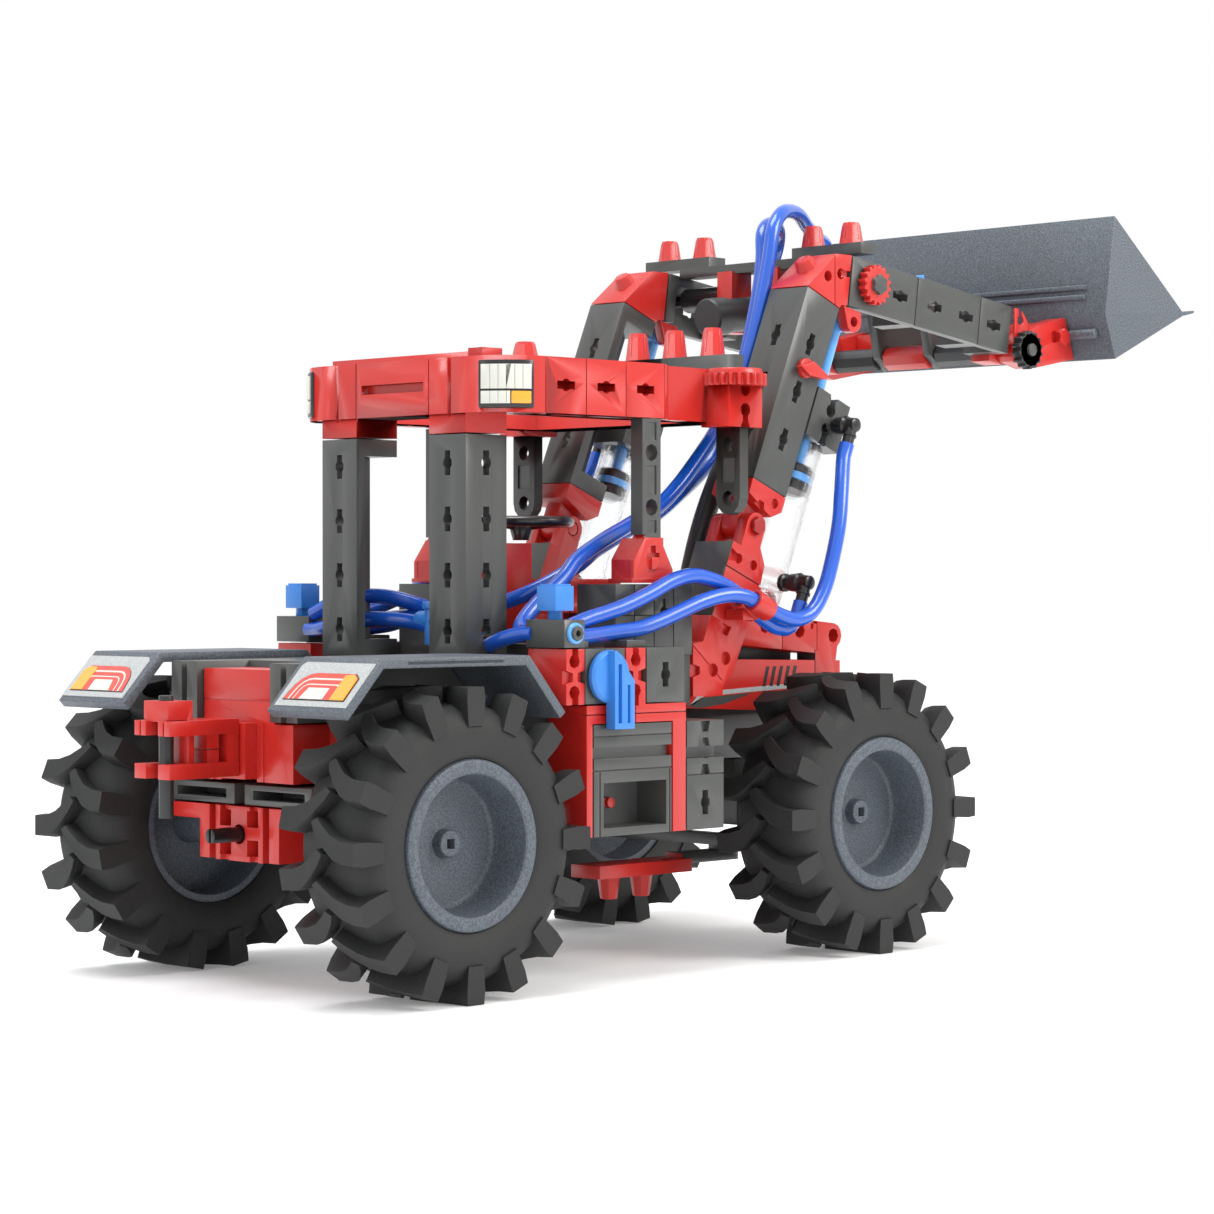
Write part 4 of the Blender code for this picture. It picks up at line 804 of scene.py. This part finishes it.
def columns():
    leaned = lean_matrix(BOOM_PIVOT, BOOM_LEAN)
    for hand, side in SIDES:
        face, out = side * 44.8, (0, side, 0)
        cuts = []
        cuts += necks((0.3, face, -22.6), out, [(1, 0, 0), (-1, 0, 0)], 7.4)
        cuts += necks((0.3, face, -11.4), out, [(-1, 0, 0)], 7.0)
        cuts += [rod((-3.2, side * 43, -11.4), (-3.2, side * 46, -11.4), 1.5, 16),
                 rod((3.2, side * 43, -10.8), (3.2, side * 46, -10.8), 1.5, 16),
                 block((-8, 9), both_sides(44.2, 46, side), (-15.3, -14.9))]
        moved(cuts, leaned)
        cuts += [rod((84.6, side * 43, 84.6), (84.6, side * 46, 84.6), 1.9, 20),
                 rod((79.5, side * 43, 81.4), (79.5, side * 46, 81.4), 1.9, 20)]
        cuts += necks((71.6, face, 81.4), out, [(-1, 0, 0)], 0.1)
        cuts += necks((85.0, face, 93.6), out, [(0.35, 0, 0.94)], 0.1)
        cuts.append(prism([(71, 88.6), (83.2, 78.2), (83.2, 78.6), (71, 89)], *both_sides(44.3, 46, side)))
        paint = [(GREY, (-8, 8), (28, 46), (-30.3, -14.95), leaned)]
        dressed(f"pivot_column_{hand}", RED, cuts, paint=paint)
        hub = toothed(BOOM_PIVOT, 2.6, 6, *both_sides(44.9, 46.2, side))
        make(f"boom_pin_head_{hand}", "boom", DEEP_RED, [hub], bevel=0.15)


def loader():
    upright = lean_matrix(BOOM_PIVOT, BOOM_LEAN)
    arm = lean_matrix(BOOM_PIVOT, ARM_LEAN)
    root, top = framed(BOOM_PIVOT, ARM_LEAN, (138.6, 201.3))
    for hand, side in SIDES:
        face, out = side * 45, (0, side, 0)
        cuts = bulges((0.9, face, 27.2), 3, out, (0, 0, 1))
        cuts += bulges((-6.6, side * LIFT_Y, 27.2), 3, (1, 0, 0), (0, 0, 1))
        cuts += [rod((4.6, side * 43.4, 8.8), (4.6, side * 46, 8.8), 1.5, 16)]
        cuts += necks((-0.6, side * 44.8, 5.0), out, [(0, 0, -1)], 0.2)
        ring = (12.05, 12.4)
        walls = (((-8, 10), (44.5, 46)), ((-8, 10), (29, 30.5)),
                 ((-8, -6.05), (29, 46)), ((7.85, 10), (29, 46)))
        cuts += [block(x, both_sides(*y, side), ring) for x, y in walls]
        moved(cuts, upright)
        foot = [(RED, (-8, 9), (28, 46), (-6, 12.2), upright)]
        dressed(f"boom_upright_{hand}", GREY, cuts, paint=foot)
        grip = prism([(-3.4, 48.2), (1.0, 51.8), (8.2, 50.6), (8.2, 49.2), (1.0, 47.2)],
                     *both_sides(45.6, 48.2, side))
        collar = rod((0.9, side * 44.8, 49.6), (0.9, side * 46.4, 49.6), 2.9, 20)
        make(f"upright_peg_{hand}", "boom", RED, moved([grip, collar], upright), bevel=0.3)

        cuts = []
        cuts += seams((130.6,), both_sides(44.3, 46, side), (186, 203))
        cuts.append(block((134.2, 139), both_sides(43.6, 46, side), (194.8, 196.6)))
        wedge_peg = peg((127.4, side * LIFT_Y, 196.0), (-0.55, 0, 0.83), 4.6)[0]
        dressed(f"boom_elbow_{hand}", RED, cuts, [wedge_peg], 0.3)

        cuts = []
        for t in (22.5, 38.5, 53.5, 67):
            cuts += bulges((root + t, face, top - 7.5), 1, out, (1, 0, 0))
        moved(cuts, arm)
        lines = moved(seams((root + 30, root + 60), both_sides(44.4, 46, side), (top - 16, top + 1)), arm)
        dressed(f"boom_arm_{hand}", GREY, cuts + lines)

    x, z = CROSS_TIE
    beam = 199.6
    pegs, flutes = [], []
    for side in (1, -1):
        for y in (22.5, 37.5):
            body, grooves = peg((x, side * y, beam + 6), (0, 0, 1), 6.3)
            pegs.append(body)
            flutes += grooves
        pegs.append(toothed(CROSS_TIE, 5.9, 16, *both_sides(45.3, 47.9, side)))
        pegs.append(toothed(CROSS_TIE, 3.0, 6, *both_sides(47.8, 49.2, side)))
    paint = [(RED, (x - 8, x + 8), (0, 45), (beam + 6.4, beam + 14)),
             (RED, (x - 8, x + 8), (45.1, 48), (z - 7, z + 7)),
             (RED, (x - 5.2, x + 4.2), (6, 12.8), (180, beam - 0.1)),
             (BLACK, (x - 4, x + 4), (12.9, 44.9), (z - 4.2, z + 4.2))]
    grooves = [block((x - 6, x + 6), both_sides(29.8, 30.2, side), (beam + 5.8, beam + 7))
               for side in (1, -1)]
    dressed("boom_cross_tie", GREY, flutes + grooves, pegs, 0.2, paint)

    px, pz = BUCKET_PIVOT
    hubs = [toothed(BUCKET_PIVOT, 5.9, 14, *both_sides(45.6, 48.6, side)) for side in (1, -1)]
    paint = [(DARK, (px - 8, px + 8), (45.4, 49), (pz - 8, pz + 8)),
             (GREY, (px - 4, px + 4), (48.8, 50), (pz - 4, pz + 4)),
             (DARK, (px - 4.5, px + 4.5), (8.6, 30.1), (pz - 4.5, pz + 4.5))]
    dressed("bucket_shaft", RED, extra=hubs, bevel=0.2, paint=paint)
    end = [(213.4, 190.4), (216.6, 190.0), (219.2, 187.2), (221.6, 183.4), (221.6, 174.2), (213.0, 173.6)]
    for hand, side in SIDES:
        holes = [rod((216.2, side * 44, 186.6), (216.2, side * 47, 186.6), 1.5, 20)]
        holes.append(block((215.4, 217), both_sides(44, 47, side), (186, 191)))
        make(f"arm_end_plate_{hand}", "boom", RED, [prism(end, *both_sides(45.0, 45.5, side))], holes, 0.12)


def lift_cylinders():
    """Each lift cylinder: clear tube, caps, nipples, and a black piston with a blue ring on a blue rod."""
    lean, reach = run_between(LIFT_BASE, LIFT_TOP)
    leaned = lean_matrix(LIFT_BASE, lean)
    for hand, side in SIDES:
        y = side * LIFT_Y
        body = f"lift_barrel_{hand}"
        tube_wall = turned([(6.2, 5.1), (6.2, 6.0), (48.8, 6.0), (48.8, 5.1)], (0, y, 0), (0, 0, 1), 48)
        foot = turned([(3.8, 0), (3.8, 5.6), (4.6, 6.5), (8.6, 6.5), (9.0, 6.0), (9.0, 0)],
                      (0, y, 0), (0, 0, 1), 48)
        fork = arc((0, 0), 3.0, 180, 360, 12) + [(3, 4.5), (-3, 4.5)]
        eyes = [prism(fork, *both_sides(*ends, side)) for ends in ((32.2, 35.3), (39.7, 42.8))]
        eyes.append(rod((0, side * 32.3, 0), (0, side * 42.7, 0), 1.5, 16))
        make(f"lift_tube_{hand}", body, CLEAR, moved([tube_wall], leaned), bevel=0, replaces=[body])
        make(f"lift_foot_{hand}", body, CLEAR, moved([foot, *eyes], leaned), bevel=0.2)
        cap = [block((-7.2, 7.5), both_sides(30.2, 44.8, side), (48.6, 63.4))]
        bore = [rod((0, y, 40), (0, y, 66), 2.4, 20), rod((0, y, 40), (0, y, 51), 5.2, 32)]
        bore += block_face((0.15, side * 44.8, 56), (0, side, 0), (0, 0, 1), 7.4, "ud")
        bore += block_face((7.5, y, 56), (1, 0, 0), (0, 0, 1), 7.4, "ud")
        make(f"lift_cap_{hand}", body, GREY, moved(cap, leaned), moved(bore, leaned), 0.3)
        nipples = []
        for forward, along in LIFT_PORTS:
            profile = [(42.6, 0), (42.6, 2.6), (44.0, 2.6), (44.4, 1.9), (45.6, 1.9), (46, 2.5), (49.4, 2.8),
                       (50.0, 2.4), (51.2, 2.2), (53.2, 2.0), (53.5, 1.4), (53.5, 0)]
            nipples.append(turned(profile, (forward, 0, along), (0, side, 0), 28))
            for start, end, radius in ((0, 6.4, 1.75), (3.0, 3.6, 2.1)):
                nipples.append(rod((forward, side * ELBOW_Y, along - start),
                                   (forward, side * ELBOW_Y, along - end), radius, 20))
        make(f"lift_nipples_{hand}", body, BLACK, moved(nipples, leaned), bevel=0)
        piston = turned([(33.6, 0), (33.6, 4.4), (34.4, 4.9), (36.2, 4.9), (36.4, 4.5), (38.8, 4.5),
                         (39.0, 4.9), (40.8, 4.9), (41.4, 4.4), (41.4, 0)], (0, y, 0), (0, 0, 1), 48)
        band = turned([(36.5, 4.4), (36.5, 5.0), (38.7, 5.0), (38.7, 4.4)], (0, y, 0), (0, 0, 1), 48)
        rod_body = f"lift_rod_{hand}"
        shaft = [rod((0, y, 41), (0, y, reach - 1), 1.85, 24)]
        shaft.append(rod((0, side * 34.6, reach), (0, side * 40.4, reach), 2.8, 24))
        make(f"lift_piston_{hand}", rod_body, BLACK, moved([piston], leaned), bevel=0, replaces=[rod_body])
        make(f"lift_band_{hand}", rod_body, ROD_BLUE, moved([band], leaned), bevel=0)
        eye = [rod((0, side * 33, reach), (0, side * 42, reach), 1.4, 20)]
        make(f"lift_shaft_{hand}", rod_body, ROD_BLUE, moved(shaft, leaned), moved(eye, leaned), 0.15)


def tilt_cylinder():
    lean, reach = run_between(TILT_BASE, TILT_LEVER)
    leaned = lean_matrix(TILT_BASE, lean)
    walls = [(-22, 0), (-22, 5.2), (-21.4, 5.7), (-15, 5.7), (-14.6, 5.1), (4.9, 5.1), (5.2, 5.7),
             (12.2, 5.7), (12.6, 5.1), (31.2, 5.1), (31.5, 5.7), (37.6, 5.7), (38.2, 5.2), (38.2, 0)]
    shapes = [turned(walls, (0, 0, 0), (0, 0, 1), 40), rod((0, -7.6, 0), (0, 7.6, 0), 1.6, 16)]
    for along in TILT_PORTS:
        port = [(3, 0), (3, 2.4), (5.6, 2.4), (5.9, 1.8), (7.2, 1.8), (7.5, 2.2), (9.6, 1.9), (9.7, 0)]
        shapes.append(turned(port, (0, 0, along), (-1, 0, 0), 24))
    bores = [rod((0, 0, 1), (0, 0, 30), 4.2, 32), rod((0, 0, 28), (0, 0, 40), 2.4, 24)]
    make("tilt_tube", "boom", DARK, moved(shapes, leaned), moved(bores, leaned), 0, ["tilt_barrel"])
    dressed("tilt_rod", ROD_BLUE, bevel=0.2)


def bucket():
    ribs = []
    top, back = (244.9, 220.2), (240.0, 189.5)
    for part in (0.72, 0.82):
        x = top[0] + (back[0] - top[0]) * part
        z = top[1] + (back[1] - top[1]) * part
        ribs.append(block((x - 1.1, x + 1.5), (-52, 52), (z - 0.8, z + 0.8)))
    ribs += [rod((241.0, side * 45.5, 183.5), (241.0, side * 56, 183.5), 1.5) for side in (1, -1)]
    dressed("bucket", STONE, extra=ribs, bevel=0.35)
    cuts = []
    for side in (1, -1):
        cuts.append(rod((234, side * 43.6, 182.6), (234, side * 46, 182.6), 1.9, 20))
        cuts.append(block((238, 240), both_sides(20, 30, side), (179, 185)))
    pins = [toothed((237.4, 182.6), 2.7, 6, *both_sides(44.7, 46.6, side)) for side in (1, -1)]
    paint = [(GREY, (210, 237), (8.9, 12.2), (172, 200)), (BLACK, (209, 216), (5, 14), (192, 199))]
    dressed("bucket_mount", RED, cuts, pins, 0.25, paint)


def smooth_route(points, step):
    """Points about a step apart on a smooth curve through a route's own points, with straight ends."""
    points = [Vector(p) for p in points]
    fine = []
    for a, b, c, d in zip(points, points[1:], points[2:], points[3:]):
        for i in range(20):
            t = i / 20
            fine.append(0.5 * (2 * b + (c - a) * t + (2 * a - 5 * b + 4 * c - d) * t * t
                               + (3 * b - a - 3 * c + d) * t * t * t))
    fine.append(points[-2])
    route, walked = [points[0], fine[0]], 0.0
    for a, b in zip(fine, fine[1:]):
        walked += (b - a).length
        if walked >= step * (len(route) - 1):
            route.append(b)
    if (route[-1] - points[-2]).length < step / 2:
        route.pop()
    return route + points[-2:]


def tube(points, radius, sides=16, step=2.0):
    """A hose along its route, its cross-section carried along without twisting."""
    route = smooth_route(points, step)
    shape = bmesh.new()
    rings = []
    across = (route[1] - route[0]).orthogonal().normalized()
    for i, place in enumerate(route):
        way = (route[min(i + 1, len(route) - 1)] - route[max(i - 1, 0)]).normalized()
        across = (across - way * across.dot(way)).normalized()
        other = way.cross(across)
        angles = [2 * math.pi * k / sides for k in range(sides)]
        rings.append([shape.verts.new(place + (across * math.cos(a) + other * math.sin(a)) * radius)
                      for a in angles])
    shape.faces.new(reversed(rings[0]))
    shape.faces.new(rings[-1])
    for first, second in zip(rings, rings[1:]):
        for k in range(sides):
            j = (k + 1) % sides
            shape.faces.new((first[k], first[j], second[j], second[k]))
    bmesh.ops.recalc_face_normals(shape, faces=shape.faces)
    return shape


def frame_point(x, y, z):
    return (x * MM + CAB_REAR_X, y * MM, z * MM)


def hoses():
    """Six hoses on the CAD's routes, then clips and short runs."""
    lean, _ = run_between(LIFT_BASE, LIFT_TOP)
    leaned = lean_matrix(LIFT_BASE, lean)
    ends = [[tuple(leaned @ Vector((forward, ELBOW_Y, along - drop))) for drop in (10.0, 6.0)]
            for forward, along in LIFT_PORTS]
    lower = [(15.25, 49.6, 93.9), (18, 49.6, 93.9), (26, 49.5, 96.2), (33, 49.5, 97.8), (40, 49.5, 99.6),
             (49.5, 49.5, 102.9), (58, 49.5, 106.3), (66, 49.5, 107.8), (73, 49.6, 106.9), (80, 49.8, 104.6),
             (86, 50.2, 101.2), (92, 50.6, 96.6), (98, 51, 93.4), (103.4, 51.4, 93.0)] + ends[0]
    upper = [(15.25, 54.4, 91.5), (18, 54.4, 91.5), (27, 52.5, 92.0), (35, 51.6, 92.7), (43, 51.5, 93.4),
             (51, 51.5, 95.3), (60, 51.6, 98.2), (68, 52.0, 100.8), (76, 53.2, 102.4), (82, 54.6, 102.0),
             (88, 55.6, 99.4), (95, 56.2, 96.6), (101, 56.8, 95.5), (107, 57.2, 97.6), (112, 57.2, 103.8),
             (115.6, 57.0, 112.0), (119, 56.6, 122.4), (122.4, 54.6, 132.4)] + ends[1]
    for hand, side in SIDES:
        for level, route, start, end in (("lower", lower, (96, 96), (106, 96)),
                                         ("upper", upper, (97, 96), (116, 124))):
            node = f"hose_{level}_{hand}"
            shape = tube([(x, side * y, z) for x, y, z in route], HOSE_R)
            made = make(node + "_tube", None, HOSE, [shape], bevel=0, replaces=[node], angle=60)
            frame_point(start[0], 0, start[1])
            frame_point(end[0], 0, end[1])
            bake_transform(made)
        sleeve = [(0, 2.2), (0, 3.3), (7, 3.3), (7, 2.2)]
        clip = turned(sleeve, (85.2, side * 50.2, 101.8), (0.78, 0, -0.62), 24)
        second = turned(sleeve, (84.6, side * 55.2, 101.1), (0.88, 0, -0.42), 24)
        bridge = block((84, 90), both_sides(45.2, 52, side), (95.4, 98.4))
        make(f"hose_clip_{hand}", "body", RED, [clip, second, bridge], bevel=0.2)

    lean, _ = run_between(TILT_BASE, TILT_LEVER)
    leaned = lean_matrix(TILT_BASE, lean)
    rear, front = [[tuple(leaned @ Vector((-PORT_REACH - out, 0, port))) for out in (4, 0)]
                   for port in TILT_PORTS]
    near = [(11.3, -41.3, 92.7), (11.3, -39, 92.7), (15.5, -35.6, 95.6), (22, -34.4, 100.4),
            (32.5, -33, 106.8), (40, -31, 112.2), (51, -29.5, 117.3), (61, -27.8, 121.0),
            (77, -24.6, 126.8), (86, -23.4, 132.4), (93.5, -23.4, 139.4), (101.5, -24.4, 149),
            (107.4, -26, 159), (112.4, -27, 171), (116.3, -27, 181.4), (119.6, -27, 192.3),
            (121.9, -27, 201.4), (124, -26.6, 209.4), (129, -25, 214.2), (136, -22, 215.9),
            (144, -18.6, 215.6), (153, -13.6, 213.4), (163, -8.2, 211.4), (173, -3.2, 210.0)] + front
    far = [(11.3, 41.3, 92.7), (11.3, 39, 92.7), (16.5, 33, 94.6), (21.5, 20, 96.2), (23.5, 4, 97.2),
           (26.5, -12, 99.6), (33.5, -22, 104.2), (44, -26.4, 110.4), (54, -24.6, 115.2),
           (66, -22.4, 119.6), (76, -20.2, 122.8), (85, -18.4, 126.2), (95, -16.4, 131.4),
           (105, -14, 136.6), (113, -12.6, 142.4), (117.6, -13.6, 151), (117.6, -18.4, 161.6),
           (116.4, -22.6, 171.5), (119.6, -22.6, 182), (122.6, -22.4, 192.3), (124.6, -21.8, 201.4),
           (126.6, -20, 208.6), (131.8, -17.6, 211.9), (140, -13.2, 212.2), (147.4, -7.2, 210.6),
           (152.2, -2.0, 207.2)] + rear
    for name, route in (("near", near), ("far", far)):
        made = make(f"hose_boom_{name}_tube", None, HOSE, [tube(route, HOSE_R)], bevel=0,
                    replaces=[f"hose_boom_{name}"], angle=60)
        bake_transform(made)
    pipe = [(90.5, -22, 86.5), (91.5, -22, 97), (94.5, -22, 110), (99.5, -22, 124), (106.2, -22, 137),
            (112.0, -22, 145)]
    make("exhaust_pipe_tube", "body", DARK, [tube(pipe, 3.1)], bevel=0, replaces=["exhaust_pipe"], angle=60)
    short_runs = (
        ("hose_loop_right", [(9, -47, 92.5), (9, -44, 92.5), (8, -36, 91), (10, -27, 88.6), (16, -20, 88.4),
                             (22, -8, 90), (24, 4, 91.5), (24, 10, 91.5)]),
        ("hose_loop_left", [(9, 47, 92.5), (9, 44, 92.5), (8, 35, 93.5), (11, 22, 95.6), (16, 10, 95.0),
                            (17, -4, 92.2), (18, -12, 90.4), (18, -16, 90.4)]),
        ("hose_loop_upper", [(9.5, 45, 97), (9.5, 41, 98.5), (11, 33, 101.5), (17, 24, 102), (22, 14, 99.6),
                             (23, 4, 96.8), (23, -2, 96)]),
    )
    for name, route in short_runs:
        make(name, "body", HOSE, [tube(route, HOSE_R)], bevel=0, angle=60)
    tee = [rod((17, 2, 88.6), (17, 2, 99.5), 2.7, 20), rod((17, -4, 95.4), (17, 8, 95.4), 2.7, 20),
           rod((17, 2, 98.6), (17, 2, 100.6), 3.3, 20)]
    make("hose_tee", "body", LEVER, tee, bevel=0.3)
    wire = tube([(46, -4, 98), (44, -4, 98), (38, -5, 97.6), (33, -7, 95), (29, -10, 91), (27, -12, 88.6),
                 (27, -13, 88)], 0.6, 8)
    make("console_wire", "body", moulded("green_wire", (0.05, 0.42, 0.08), 0.35, coat=0.3), [wire], bevel=0)


def main():
    camera_and_light()
    wheels()
    rear_posts()
    roof()
    cab_inside()
    hood_and_exhaust()
    side_row()
    chassis()
    fenders()
    rear_end()
    columns()
    loader()
    lift_cylinders()
    tilt_cylinder()
    bucket()
    hoses()


main()
